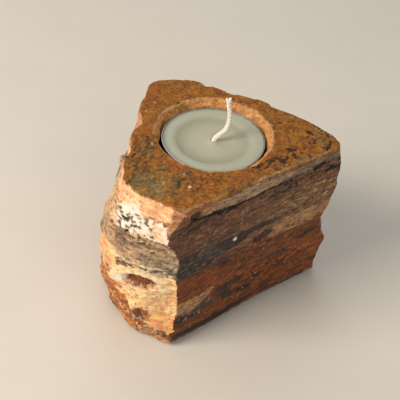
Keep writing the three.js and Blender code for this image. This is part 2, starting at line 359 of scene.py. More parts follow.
# The broken left side runs back from the sawn front along this line, seen from above.
LEFT_CORNER = Vector((-35, -29, 0))
LEFT_ALONG = Vector((-0.401, 0.916, 0))

# How far the corner where it meets the sawn front is knocked back, by height over the base, in millimetres.
CORNER_KNOCKED_BACK = [
    (0, 4.0), (5, 3.5), (9, 2.5), (13, 2.3), (17, 3.6), (21, 3.2), (25, 1.6), (29, 1.1), (33, 0.4),
    (37, 1.2), (41, 2.1), (45, 3.5), (49, 3.1), (53, 2.1), (57, 1.2), (61, 0.8), (65, 2.2), (72, 3.2),
]

# The recess, from the cup that stands in it.
BORE_RADIUS = (CUP_HIGH.x - CUP_LOW.x) / 2 / MM + 0.4
MOUTH_RADIUS = BORE_RADIUS + 2.2
RECESS_FLOOR = in_stone(CUP_LOW).z - 0.1
FLARE_STARTS = in_stone(CUP_HIGH).z

# Chips out of the mouth's edge: direction from +X and half width, in degrees, and depth in millimetres.
MOUTH_CHIPS = [
    (20, 70, 0.7), (-12, 14, 0.8), (92, 4, 1.4), (-84, 6, 1.6), (118, 6, 0.6), (150, 5, 0.5), (45, 9, 0.5),
]

# Patches of the beds that stand out on each face, and zones where the same colour shows only as scattered
# specks. A row holds the place along and up the face, the half length and half height, the rise for each
# millimetre along, the colour, how strongly it shows, and how deep it is sunk, all in millimetres. A negative
# depth stands proud. The near-black colours of the deepest sunk rows, the pits, are partly painted shade
# inside them.
FRONT_PATCHES = [
    (-24, 54, 13, 6.5, 0.0, "#5b4033", 0.45, 0),
    (2, 54, 12, 5.0, 0.0, "#7a5c46", 0.45, 0),
    (28, 50, 14, 5.0, 0.0, "#a08660", 0.42, 0),
    (-6, 64.6, 22, 2.8, 0.03, "#ab957c", 0.7, 0),
    (-27, 66, 7, 3.2, 0.0, "#a96f45", 0.6, 0),
    (26, 65, 12, 2.2, 0.0, "#8e8671", 0.55, 0),
    (-26, 39.5, 12.5, 5.6, 0.04, "#332d2e", 0.95, 0),
    (-13, 41.5, 10, 3.6, 0.1, "#3a3130", 0.9, 0),
    (3, 43.6, 12, 1.4, 0.03, "#40352f", 0.9, 0),
    (17, 44.2, 11, 0.8, 0.0, "#4d4039", 0.8, 0),
    (-21.5, 43.4, 3.6, 1.7, 0.15, "#6a6450", 0.75, 0),
    (-9.2, 42.7, 0.75, 0.9, 0.0, "#f4f2ec", 1.0, -0.1),
    (24, 37.6, 19, 4.2, 0.02, "#a98560", 0.75, 0),
    (4.5, 37.4, 4.4, 2.0, 0.1, "#40271e", 0.85, 0),
    (-11.5, 31.6, 2.3, 1.1, 0.1, "#3a251d", 0.8, 0.2),
    (9, 32.6, 1.8, 1.0, -0.3, "#3f2920", 0.8, 0),
    (10, 24.6, 12, 0.9, -0.08, "#735150", 0.8, 0),
    (17, 22.6, 4.2, 1.1, -0.2, "#46342e", 0.85, 0),
    (29, 26.8, 5.4, 1.0, 0.12, "#33241f", 0.95, 0.15),
    (-3, 24, 2.7, 1.3, 0.0, "#4a332c", 0.8, 0),
    (-27, 17.6, 9, 3.0, 0.14, "#ab8866", 0.95, 0),
    (-20, 20.2, 3.8, 1.0, 0.22, "#b4926f", 0.9, 0),
    (-19, 14.2, 12, 2.0, 0.16, "#4a3832", 0.75, 0),
    (-29, 11.2, 6, 1.4, 0.0, "#2c2121", 0.9, 0.1),
    (-8, 18.6, 7.5, 1.4, 0.1, "#3f2c26", 0.85, 0),
    (-9, 12.6, 3.4, 2.3, -0.3, "#3a2926", 0.85, 0),
    (-1.5, 11, 3.6, 1.8, -0.1, "#2c1d1f", 0.9, 0.1),
    (6.8, 15, 3.1, 1.1, 0.0, "#37241d", 0.9, 0.1),
    (17, 15, 3.4, 2.0, 0.1, "#55331f", 0.7, 0),
    (28, 11.5, 2.2, 0.9, -0.6, "#4a2a1a", 0.7, 0),
    (-16, 3.5, 20, 1.5, 0.01, "#2b2625", 0.95, 0),
    (10, 3.2, 11, 0.7, 0.0, "#3f312b", 0.7, 0),
    (-8, 1.2, 28, 0.5, 0.0, "#94806d", 0.7, 0),
    (-29, 63.6, 2.6, 1.9, 0.0, "#201715", 0.8, 0.8),
    (-20, 61.2, 10, 0.8, -0.05, "#1f1614", 0.8, 0.5),
    (-4, 61.0, 10, 0.6, 0.08, "#1f1614", 0.75, 0.4),
    (12, 62.2, 9, 0.6, 0.05, "#2c211c", 0.7, 0.35),
    (12, 58.6, 8, 2.0, 0.1, "#3b2d26", 0.4, 0.1),
    (27.5, 62.9, 3.0, 1.5, 0.12, "#1d1513", 0.85, 0.8),
    (35.5, 58.6, 5.0, 1.1, 0.0, "#241a17", 0.75, 0.5),
    (38, 62.6, 2.0, 0.8, -0.1, "#342722", 0.8, 0.3),
    (21, 52.5, 5.0, 1.0, 0.0, "#54433a", 0.7, 0),
]
FRONT_SPECKS = [
    (-22, 58.6, 14, 4.2, 0.0, "#241a17", 0.85, 0.5),
    (8, 58.6, 14, 3.6, 0.05, "#2a201b", 0.8, 0.3),
    (31, 60.4, 10, 4.0, 0.0, "#2a211d", 0.85, 0.4),
    (-16, 51, 18, 7.0, 0.0, "#a5886c", 0.45, 0),
    (-24, 39, 12, 5.0, 0.0, "#6d625a", 0.7, 0),
    (-4, 31, 12, 4.0, 0.0, "#3a241b", 0.8, 0.2),
    (16, 33, 12, 4.5, 0.0, "#4a3022", 0.7, 0.2),
    (-24, 13.6, 9, 3.4, 0.1, "#8d7965", 0.7, 0),
    (10, 17, 20, 7.0, 0.0, "#3c2418", 0.75, 0.2),
    (24, 48, 16, 9.0, 0.0, "#b99a74", 0.5, 0),
]
# The left side's patch and speck colours are partly painted light: paler than the stone's own colour, as a
# strongly lit side looks.
LEFT_PATCHES = [
    (16, 65.5, 22, 3.2, 0.0, "#eec6a4", 0.9, -0.3),
    (29, 57, 7, 9, 0.0, "#ccb292", 0.85, 0),
    (0.2, 65.4, 2.9, 4.4, 0.0, "#b3845e", 1.0, 0.3),
    (13, 57.0, 12, 5.6, -0.04, "#ecd0b4", 0.9, -0.2),
    # The two near-white patches 57 mm up are partly a pale bed and partly painted highlight, glints put into
    # the colour.
    (17.5, 58.0, 6.5, 5.0, 0.0, "#f8eee6", 1.0, 0),
    (6.5, 57.0, 5.0, 4.6, -0.1, "#faf0e8", 1.0, 0),
    (6, 57.0, 3.4, 3.0, 0.0, "#e2bd9f", 0.5, 0),
    (19, 51.6, 3.5, 0.9, 0.16, "#3a2c2e", 0.5, 0.3),
    (10, 44.6, 17, 6.4, -0.06, "#c9b296", 0.9, 0),
    (25, 47.0, 8, 5, 0.0, "#b89d84", 0.75, 0),
    (18, 47.6, 6, 1.2, 0.1, "#5f4e4b", 0.6, 0.1),
    (9, 48.4, 6, 0.9, 0.15, "#6f564c", 0.6, 0.1),
    (13, 44.4, 9, 0.8, 0.15, "#7a6054", 0.6, 0.1),
    (5, 41.5, 7, 1.0, 0.2, "#5f5652", 0.6, 0.1),
    (4, 40, 10, 3.6, 0.2, "#a89e84", 0.8, 0),
    (1.5, 36.2, 6.5, 1.7, 0.24, "#6e6a66", 0.8, 0.1),
    (8, 34.8, 5.0, 1.4, 0.1, "#a39684", 0.6, 0),
    (14, 38.4, 11, 0.7, 0.06, "#f3e6cf", 0.8, -0.2),
    (28, 37, 5.6, 7.6, 0.0, "#ecc294", 0.85, -0.2),
    (23.4, 36.5, 1.1, 5.4, 0.0, "#f3dfb6", 0.8, 0),
    (29.6, 25.0, 2.8, 3.0, 0.0, "#cc8450", 0.75, 0.4),
    (2, 23, 10, 10.5, 0.0, "#f8d6ac", 1.0, -0.2),
    (13, 20.0, 10, 3.6, 0.0, "#f5d5ac", 0.95, 0),
    (13.0, 28.6, 12.0, 7.2, 0.0, "#f7dfc0", 1.0, -0.4),
    (13.0, 29.6, 6.4, 3.1, -0.12, "#85543a", 1.0, 2.8),
    # This near-white spot beside the pocket is a painted highlight, a glint put into the stone's colour.
    (20.6, 28.6, 2.1, 1.5, -0.2, "#fbf5ee", 0.95, 0.2),
    (23, 14.5, 10, 6.6, 0.25, "#bd7c44", 0.95, -0.3),
    (22, 17.5, 3, 1.2, 0.2, "#b06038", 0.6, 0.4),
    (27, 12, 2.5, 1.6, 0.3, "#a55f3a", 0.6, 0.5),
    (11, 11.0, 3.6, 1.6, 0.5, "#7c5a52", 0.8, 0.2),
    (17.5, 8.4, 1.9, 3.0, 0.0, "#7d6459", 0.75, 0.4),
    (24.5, 9.4, 3.4, 1.0, 0.4, "#8e6248", 0.7, 0.4),
    (13, 5.6, 3.5, 1.4, 0.3, "#d79a55", 0.8, -0.2),
    (10, 2.8, 2.0, 2.6, 0.4, "#87665f", 0.75, 0.2),
    (5.5, 4.6, 6.5, 0.9, 0.3, "#8a6450", 0.7, 0.2),
    (5.5, 1.0, 8, 3.0, 0.25, "#d3a273", 0.9, 0),
    (2, 10.5, 7, 5.0, 0.05, "#eebd88", 0.95, 0),
    (19, 1.5, 5, 2.6, 0.0, "#d0935a", 0.85, -0.2),
]
LEFT_SPECKS = [
    (18.5, 57.6, 6.0, 4.0, 0.0, "#2b2328", 1.0, 0.5),
    (10.5, 58.6, 3.0, 2.6, 0.0, "#3a3032", 0.9, 0.4),
    (16, 51.6, 9.5, 2.2, 0.12, "#251b20", 1.0, 0.5),
    (7, 53.4, 5.0, 1.6, 0.2, "#46332b", 0.95, 0.4),
    (6, 60.5, 5.0, 2.0, 0.0, "#b98a68", 0.8, 0),
    (14, 45, 16, 5.0, 0.0, "#4d403d", 0.7, 0.2),
    (16, 42, 14, 4.0, 0.0, "#d9c4ab", 0.7, -0.1),
    (9, 37.6, 12, 3.6, 0.1, "#4a4244", 0.7, 0.2),
    (12, 36, 12, 3.0, 0.1, "#eadcc6", 0.7, -0.1),
    (20, 23, 9, 4.0, 0.0, "#c98d58", 0.7, 0.2),
    (3, 24, 5, 8.0, 0.0, "#dc9c66", 0.5, 0.1),
    (21, 13, 11, 7.0, 0.25, "#8a5a44", 0.7, 0.5),
    (24, 11, 9, 6.0, 0.2, "#eec58c", 0.8, -0.3),
    (14, 4, 14, 3.4, 0.1, "#8a6a5a", 0.6, 0.4),
    (14, 7.6, 10, 3.0, 0.2, "#f0dcc0", 0.8, -0.2),
]
TOP_PATCHES = [
    (-34, -13, 10.5, 9.5, 0.0, "#7a6a3c", 0.42, 0),
    (-37, -10, 4.5, 4.0, 0.0, "#6b5e3a", 0.4, 0.05),
    (-30, 3, 8, 5, 0.5, "#66552e", 0.42, 0),
    (-22, -16, 8, 4.5, 0.0, "#6b5630", 0.36, 0),
    (-36, -15, 3, 4, 0.0, "#8d7f62", 0.34, 0),
    # These two tiny near-white spots are painted highlights, sparkles put into the top's colour.
    (-25.4, -20.6, 0.7, 0.6, 0.0, "#f3ead9", 1.0, 0),
    (-22.9, -14, 0.4, 0.4, 0.0, "#f3ead9", 0.8, 0),
    (-25, -23, 2.0, 1.2, 0.0, "#4a3a26", 0.5, 0.2),
    (-0.7, 21.8, 1.2, 1.6, 0.0, "#2b1d14", 1.0, 0.6),
    (3, -22.9, 3.4, 1.3, 0.0, "#241a10", 0.62, 0.4),
    (9, -23.4, 2.6, 1.3, 0.3, "#3a2614", 0.5, 0.2),
    (11.4, -24.4, 1.8, 2.4, 0.0, "#40280f", 0.62, 0.3),
    (19.3, -22, 2.0, 1.2, -0.4, "#2f1c0b", 0.75, 0.5),
    (16, -26, 3.5, 1.0, 0.2, "#5a3a1a", 0.45, 0.1),
    (31.8, -16.8, 0.9, 0.8, 0.5, "#201209", 1.0, 0.7),
    (33, -27.4, 2.6, 0.8, 0.6, "#1d130c", 0.9, 0.8),
    (34.5, -22, 4.6, 5.0, 0.0, "#94794c", 0.5, 0),
    (17.4, 18.9, 2.2, 1.3, -0.6, "#4f3316", 0.5, 0.2),
    (23, -4, 3, 6, 0.0, "#8f6a3a", 0.4, 0),
    (5, -28.8, 28, 1.2, 0.0, "#85704c", 0.45, 0),
    (10, 27, 10, 10, 0.0, "#a0622a", 0.34, 0),
]
TOP_SPECKS = [
    (-34, -12, 10.0, 10.0, 0.0, "#4b4327", 0.8, 0.1),
    (-35, -14, 6.0, 7.0, 0.0, "#a5905c", 0.6, 0),
    (-29, 4, 9, 7, 0.5, "#45381f", 0.8, 0.1),
    (-18, -19, 12, 6.0, 0.0, "#4c371c", 0.6, 0.1),
    (8, -24.6, 14, 3.0, 0.0, "#33200f", 0.85, 0.2),
    (26, -16, 12, 11.0, 0.0, "#57391a", 0.6, 0.15),
    (33, -23, 6, 6.0, 0.0, "#33271a", 0.8, 0.3),
    (6, -28.6, 30, 2.0, 0.0, "#5b4a34", 0.6, 0.1),
    (24, 3, 6, 14.0, 0.0, "#6b4a26", 0.5, 0.1),
    (2, 33, 14, 10.0, 0.0, "#6b431c", 0.5, 0.1),
]


def depth_behind(point, cut):
    """How far inside a saw cut a point lies, in millimetres."""
    place, normal = cut
    return (place - point).dot(normal)


def on_saw_cut(p, normal):
    """Whether a bit of the skin lies on a sawn face, or in a shallow pit in one."""
    return any(normal.dot(cut[1]) > 0.72 and depth_behind(p, cut) < 1.6 for cut in SAW_CUTS)


# Without a seed noise_vector takes its offsets from the clock, and the chips would differ from run to run.
CHIP_SEED = 2


def facets(p, size):
    """Flat chips of about this size, tilted at random, from -1 to 1."""
    middle = noise.voronoi(p / size)[1][0]
    tilt = noise.noise_vector(middle * 7.3).normalized()
    step = noise.noise(middle * 3.1)
    return 0.9 * (p / size - middle).dot(tilt) + 0.5 * step


def ledges(p):
    """Hard and soft beds of uneven thickness that die out along their length, from -1 to 1."""
    level = p.z - BED_CLIMB_X * p.x + 3 * noise.noise(p / 17)
    level += 2.6 * noise.noise(Vector((1.5, 2.5, level / 5.3)))
    coarse = noise.noise(Vector((p.x / 15, p.y / 15, level / 4.1)))
    fine = noise.noise(Vector((p.x / 7, p.y / 7, level / 1.7)))
    hard = smooth(-0.1, 0.35, noise.noise(p / 13 + Vector((4, 8, 2))))
    return (smooth(-0.12, 0.12, coarse) * 2 - 1) * (0.35 + 0.65 * hard) + 0.35 * fine


def patch_at(p, normal):
    """The colour, strength and depth of the patches at a bit of the skin."""
    if normal.z > 0.6 and depth_behind(p, TOP_CUT) < 1.2:
        along, up, patches, specks = p.x, p.y, TOP_PATCHES, TOP_SPECKS
    elif normal.y < (-0.6 if p.x > -31 else -0.95) and depth_behind(p, FRONT_CUT) < 1.6:
        along, up, patches, specks = p.x, p.z, FRONT_PATCHES, FRONT_SPECKS
    elif p.x < -20 and normal.z < 0.8:
        along, up, patches, specks = (p - LEFT_CORNER).dot(LEFT_ALONG), p.z, LEFT_PATCHES, LEFT_SPECKS
    else:
        return Vector(), 0.0, 0.0
    stray_along = 2.4 * noise.noise(p / 5) + 1.6 * noise.noise(p / 1.7)
    stray_up = 1.3 * noise.noise(p / 4.2 + Vector((5, 5, 5))) + 0.9 * noise.noise(p / 1.5 + Vector((9, 2, 4)))
    scattered = smooth(0.1, 0.24, noise.noise(Vector((along / 1.5, up / 0.9, 7.7 + (p.x + p.y) / 40))))
    rows = [(1.0, row) for row in patches] + [(scattered, row) for row in specks if scattered]
    colour, cover, sunk = Vector((0, 0, 0)), 0.0, 0.0
    for showing, (place, height, half_length, half_height, climb, tint, share, depth) in rows:
        loose = min(1, half_height / 2.4) / (1 + max(0, depth))
        beside = (along + stray_along * loose - place) / half_length
        above = (up + stray_up * loose - height - climb * (along - place)) / half_height
        here = showing * share * smooth(-0.35, 0.3, 1 - beside**2 - above**2)
        if here:
            together = here + cover * (1 - here)
            colour = colour.lerp(Vector(linear(tint)[:3]), here / together)
            cover = together
            sunk += depth * here
    return colour, cover, sunk


def move_vertices(obj, shift):
    """Moves each vertex by the shift, in millimetres, that a function gives for its place and normal."""
    mesh = obj.data
    normals = [v.normal.copy() for v in mesh.vertices]
    for vertex, normal in zip(mesh.vertices, normals):
        vertex.co += shift(in_stone(vertex.co), normal) * MM
    mesh.update()


def solid_lump():
    """The frame's block with its recess closed, carried on past its three saw cuts."""
    lump = bpy.data.objects.new("stone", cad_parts["stone_block"].data.copy())
    bpy.context.scene.collection.objects.link(lump)
    pick(lump)
    bpy.ops.object.mode_set(mode="EDIT")
    bpy.ops.mesh.select_all(action="SELECT")
    bpy.ops.mesh.remove_doubles(threshold=0.001 * MM)

    def in_recess(vertex):
        """Whether a vertex belongs to the recess's wall, mouth or floor."""
        p = in_stone(vertex.co)
        return p.xy.length < MOUTH_RADIUS + 0.05 and p.z > RECESS_FLOOR - 0.05

    choose(lump, in_recess)
    bpy.ops.mesh.delete(type="ONLY_FACE")
    bpy.ops.mesh.select_all(action="DESELECT")
    bpy.ops.mesh.delete_loose(use_verts=True, use_edges=True, use_faces=False)
    bpy.ops.mesh.select_all(action="DESELECT")
    bpy.ops.mesh.select_non_manifold()
    bpy.ops.mesh.edge_face_add()
    for place, normal in SAW_CUTS:

        def on_cut(face):
            depth = depth_behind(in_stone(face.center), (place, normal))
            return face.normal.dot(normal) > 0.995 and depth < 0.1

        choose(lump, on_cut, "FACE")
        outward = {"value": normal * SAW_ALLOWANCE * MM}
        bpy.ops.mesh.extrude_region_move(TRANSFORM_OT_translate=outward)
    bpy.ops.mesh.select_all(action="SELECT")
    bpy.ops.mesh.quads_convert_to_tris()
    bpy.ops.object.mode_set(mode="OBJECT")
    return lump


def foot(p):
    """The corner's foot, which reaches forward below the knocked-back part."""
    share = (1 - smooth(0, 36, p.z)) * (1 - smooth(4, 50, (p.xy - Vector((-34.5, -28))).length))
    return Vector((-0.7, -2.4, 0)) * share


def corner_trim(p):
    """Knocks back the corner of the left side and the sawn front, and hollows the left side beside it."""
    along = (p - LEFT_CORNER).dot(LEFT_ALONG)
    share = (1 - smooth(2, 17, along)) * (1 - smooth(-34, -18, p.x))
    hollow = smooth(-0.6, 3.4, along) * (1 - smooth(4, 12, along))
    hollow *= smooth(2, 10, p.z) * (1 - smooth(42, 54, p.z))
    for (low, low_back), (high, high_back) in zip(CORNER_KNOCKED_BACK, CORNER_KNOCKED_BACK[1:]):
        if share and low <= max(0, p.z) < high:
            back = low_back + (high_back - low_back) * (max(0, p.z) - low) / (high - low)
            return Vector((back * share + HOLLOW_DEPTH * hollow, 0, 0))
    return Vector()


def break_coarsely(p, normal):
    """The broken sides' larger chips and ledges."""
    outward = Vector((normal.x, normal.y, 0.35 * normal.z))
    wild = 1 + 1.1 * smooth(-12, 12, p.y) * smooth(-48, -34, p.x)
    out = wild * (0.6 * facets(p, LARGE_CHIP) + 0.35 * facets(p + Vector((31, 7, 3)), MIDDLE_CHIP))
    out += 0.22 * wild * ledges(p)
    shoulder = smooth(52, 62, p.z) * (1 - smooth(-44, -36, p.x)) * (1 - smooth(4, 16, p.y))
    return outward * (out - 1.3 * shoulder) + corner_trim(p)


def lumps(p):
    """Small lumps, a few millimetres across, heaped along the foot of the left side, from -1 to 1."""
    along = (p - LEFT_CORNER).dot(LEFT_ALONG)
    share = (1 - smooth(16, 27, p.z)) * smooth(5, 12, along) * (1 - smooth(34, 46, along)) * (p.x < -20)
    return share * (noise.noise(p / 3.3) + 0.35 * noise.noise(p / 1.6)) if share else 0


def break_finely(look):
    """Small chips and laminae on the broken sides, pits in the sawn faces, and chipped edges."""
    facet_size = look.facet / MM
    ledge = look.ledge / MM
    chip_depth = look.edge_chip / MM

    def shift(p, normal):
        """The move for one vertex, by how near it is to the two nearest saw cuts."""
        depths = sorted((depth_behind(p, cut), i) for i, cut in enumerate(SAW_CUTS))
        nearest, second = depths[0][0], depths[1][0]
        broken = smooth(0.35, 1.2, nearest)
        moved = normal * -patch_at(p, normal)[2] + foot(p)
        if broken:
            fine = 0.3 * facets(p, facet_size) + 0.2 * facets(p * 1.07, 0.42 * facet_size)
            fine += ledge * ledges(p + Vector((3, 5, 0.7)))
            fine += 0.14 * noise.noise(p / 1.3)
            fine += LUMP_HEIGHT * lumps(p)
            moved += normal * fine * broken
        if broken < 1:
            distances, middles = noise.voronoi(p / PIT_SPACING)
            wanted = noise.cell(middles[0] * 11.3)
            reach = 0.08 + 0.1 * wanted
            if wanted > 0.45 and distances[0] < reach:
                moved -= normal * PIT_DEPTH * (1 - distances[0] / reach) * (1 - broken)
        edge = (1 - smooth(0, 1.6, second)) * (1 - smooth(0, 1.6, nearest))
        if edge:
            inward = -(SAW_CUTS[depths[0][1]][1] + SAW_CUTS[depths[1][1]][1]).normalized()
            chip = max(0, noise.noise(p / 3.1)) + 0.5 * max(0, noise.noise(p / 1.1 + Vector((9, 9, 9))))
            moved += inward * (0.15 + chip_depth * chip) * edge
        return moved

    return shift


def recess_cutter():
    """What the drill took out: a bore with a flared mouth whose edge is chipped."""
    base = AXIS.z / MM
    flare = [(0.25, 0.2), (0.5, 0.45), (0.75, 0.72), (1, 1)]
    top = STONE_HEIGHT / MM
    profile = [(BORE_RADIUS, base + RECESS_FLOOR)]
    rings = 12
    for ring in range(1, rings + 1):
        profile.append((BORE_RADIUS, base + RECESS_FLOOR + (FLARE_STARTS - RECESS_FLOOR) * ring / rings))
    for share, out in flare:
        height = base + FLARE_STARTS + share * (top - FLARE_STARTS)
        profile.append((BORE_RADIUS + out * (MOUTH_RADIUS - BORE_RADIUS), height))
    profile.append((MOUTH_RADIUS, base + top + 1.5))
    cutter = turned("recess_cutter", profile, 180)

    def chip(p, normal):
        """Wanders the mouth's edge in and out, and takes each of its chips out of it."""
        share = smooth(FLARE_STARTS, top, p.z)
        outward = Vector((p.x, p.y, 0)).normalized()
        angle = math.degrees(math.atan2(p.y, p.x))
        out = 0.2 * noise.noise(outward * 9) + 0.12 * noise.noise(outward * 24)
        for direction, half_width, depth in MOUTH_CHIPS:
            apart = abs((angle - direction + 180) % 360 - 180) / half_width
            out += depth * max(0, 1 - apart**2) * (0.7 + 0.6 * noise.noise(outward * 40))
        return outward * out * share

    move_vertices(cutter, chip)
    return cutter


def mark_surfaces(stone):
    """Paints the skin for the material to read: where it is broken and where bruised at a sawn edge, and the
    colour of each patch, with its strength as the colour's alpha."""
    mesh = stone.data
    marks = {"broken": "FLOAT", "bruised": "FLOAT", "ground": "FLOAT", "patch": "FLOAT_COLOR"}
    for name, kind in marks.items():
        mesh.attributes.new(name, kind, "POINT")
    broken, bruised, ground, patch = (mesh.attributes[name] for name in marks)
    for i, vertex in enumerate(mesh.vertices):
        p = in_stone(vertex.co)
        drilled = p.xy.length < MOUTH_RADIUS + 0.5 and p.z > RECESS_FLOOR - 1
        broken.data[i].value = not drilled and not on_saw_cut(p, vertex.normal)
        ground.data[i].value = drilled * smooth(FLARE_STARTS - 6, FLARE_STARTS, p.z) * (vertex.normal.z < 0.9)
        depths = sorted(depth_behind(p, cut) for cut in SAW_CUTS)
        near_edge = 1 - smooth(0.3, 1.3, depths[1])
        near_mouth = 1 - smooth(0.2, 0.8, abs(p.xy.length - MOUTH_RADIUS))
        bruised.data[i].value = max(near_edge, near_mouth * (1 - smooth(0.3, 1.2, depths[0])))
        if not drilled:
            colour, cover, sunk = patch_at(p, vertex.normal)
            patch.data[i].color = (*colour, cover)
        else:
            patch.data[i].color = (0, 0, 0, 0)


# ---------------------------------------------------------------- the stone: finish

# Bed colours by height over the base, in millimetres. The left and right ends of the sawn front differ, and a
# paler rind covers the broken sides. The rind's paleness is partly the stone's own and partly painted light.
LEFT_BEDS = [
    (0.0, "#75655a"), (2.0, "#6b4a38"), (5.0, "#6b4430"), (8.0, "#8a551f"), (12.0, "#704322"),
    (17.0, "#824f2a"), (23.0, "#8c5222"), (30.0, "#894e20"), (33.2, "#6b4a3a"), (39.0, "#54433f"),
    (46.5, "#6f5244"), (52.0, "#765545"), (58.0, "#7d5c49"), (61.0, "#6a4f40"), (62.5, "#8a6a53"),
    (65.5, "#93705a"), (67.6, "#a3754f"), (69.0, "#9a6220"), (71.0, "#a0641c"),
]
RIGHT_BEDS = [
    (0.0, "#5a3f35"), (1.6, "#7f5843"), (5.0, "#895126"), (10.0, "#895022"), (15.0, "#915520"),
    (21.0, "#945822"), (24.8, "#844e22"), (27.0, "#7e4e28"), (31.0, "#895827"), (34.2, "#93633f"),
    (37.6, "#a68260"), (42.0, "#94785c"), (46.0, "#8f745a"), (50.5, "#8b6a4f"), (54.0, "#7f5d48"),
    (57.0, "#8f6f59"), (61.5, "#806553"), (64.5, "#94796a"), (67.0, "#94775c"), (68.8, "#9a6220"),
    (71.0, "#a0641c"),
]
# The rind's colours are partly painted light: about twice as bright as the same beds on the sawn front, as a
# strongly lit side looks.
RIND_AND_PAINTED_LIGHT_BEDS = [
    (0.0, "#b98359"), (3.6, "#a0705a"), (4.2, "#6e5148"), (5.4, "#b97c4c"), (9.0, "#c0834e"),
    (10.0, "#8a5a40"), (11.0, "#cf9258"), (16.0, "#c98c55"), (17.0, "#e3bc8b"), (22.0, "#e6c498"),
    (23.0, "#c5935f"), (24.6, "#e2b985"), (30.0, "#dfb483"), (31.0, "#efdcbd"), (32.0, "#94806c"),
    (38.0, "#a58b70"), (39.4, "#6e5c52"), (41.0, "#b0907a"), (47.0, "#a88a74"), (48.0, "#cba588"),
    (51.0, "#bc9678"), (52.6, "#eadbc8"), (61.0, "#e6cfb6"), (62.4, "#b98f6c"), (64.0, "#e3bd92"),
    (68.0, "#d3a273"), (71.0, "#b98550"),
]
BEDS_TOP = 71.0


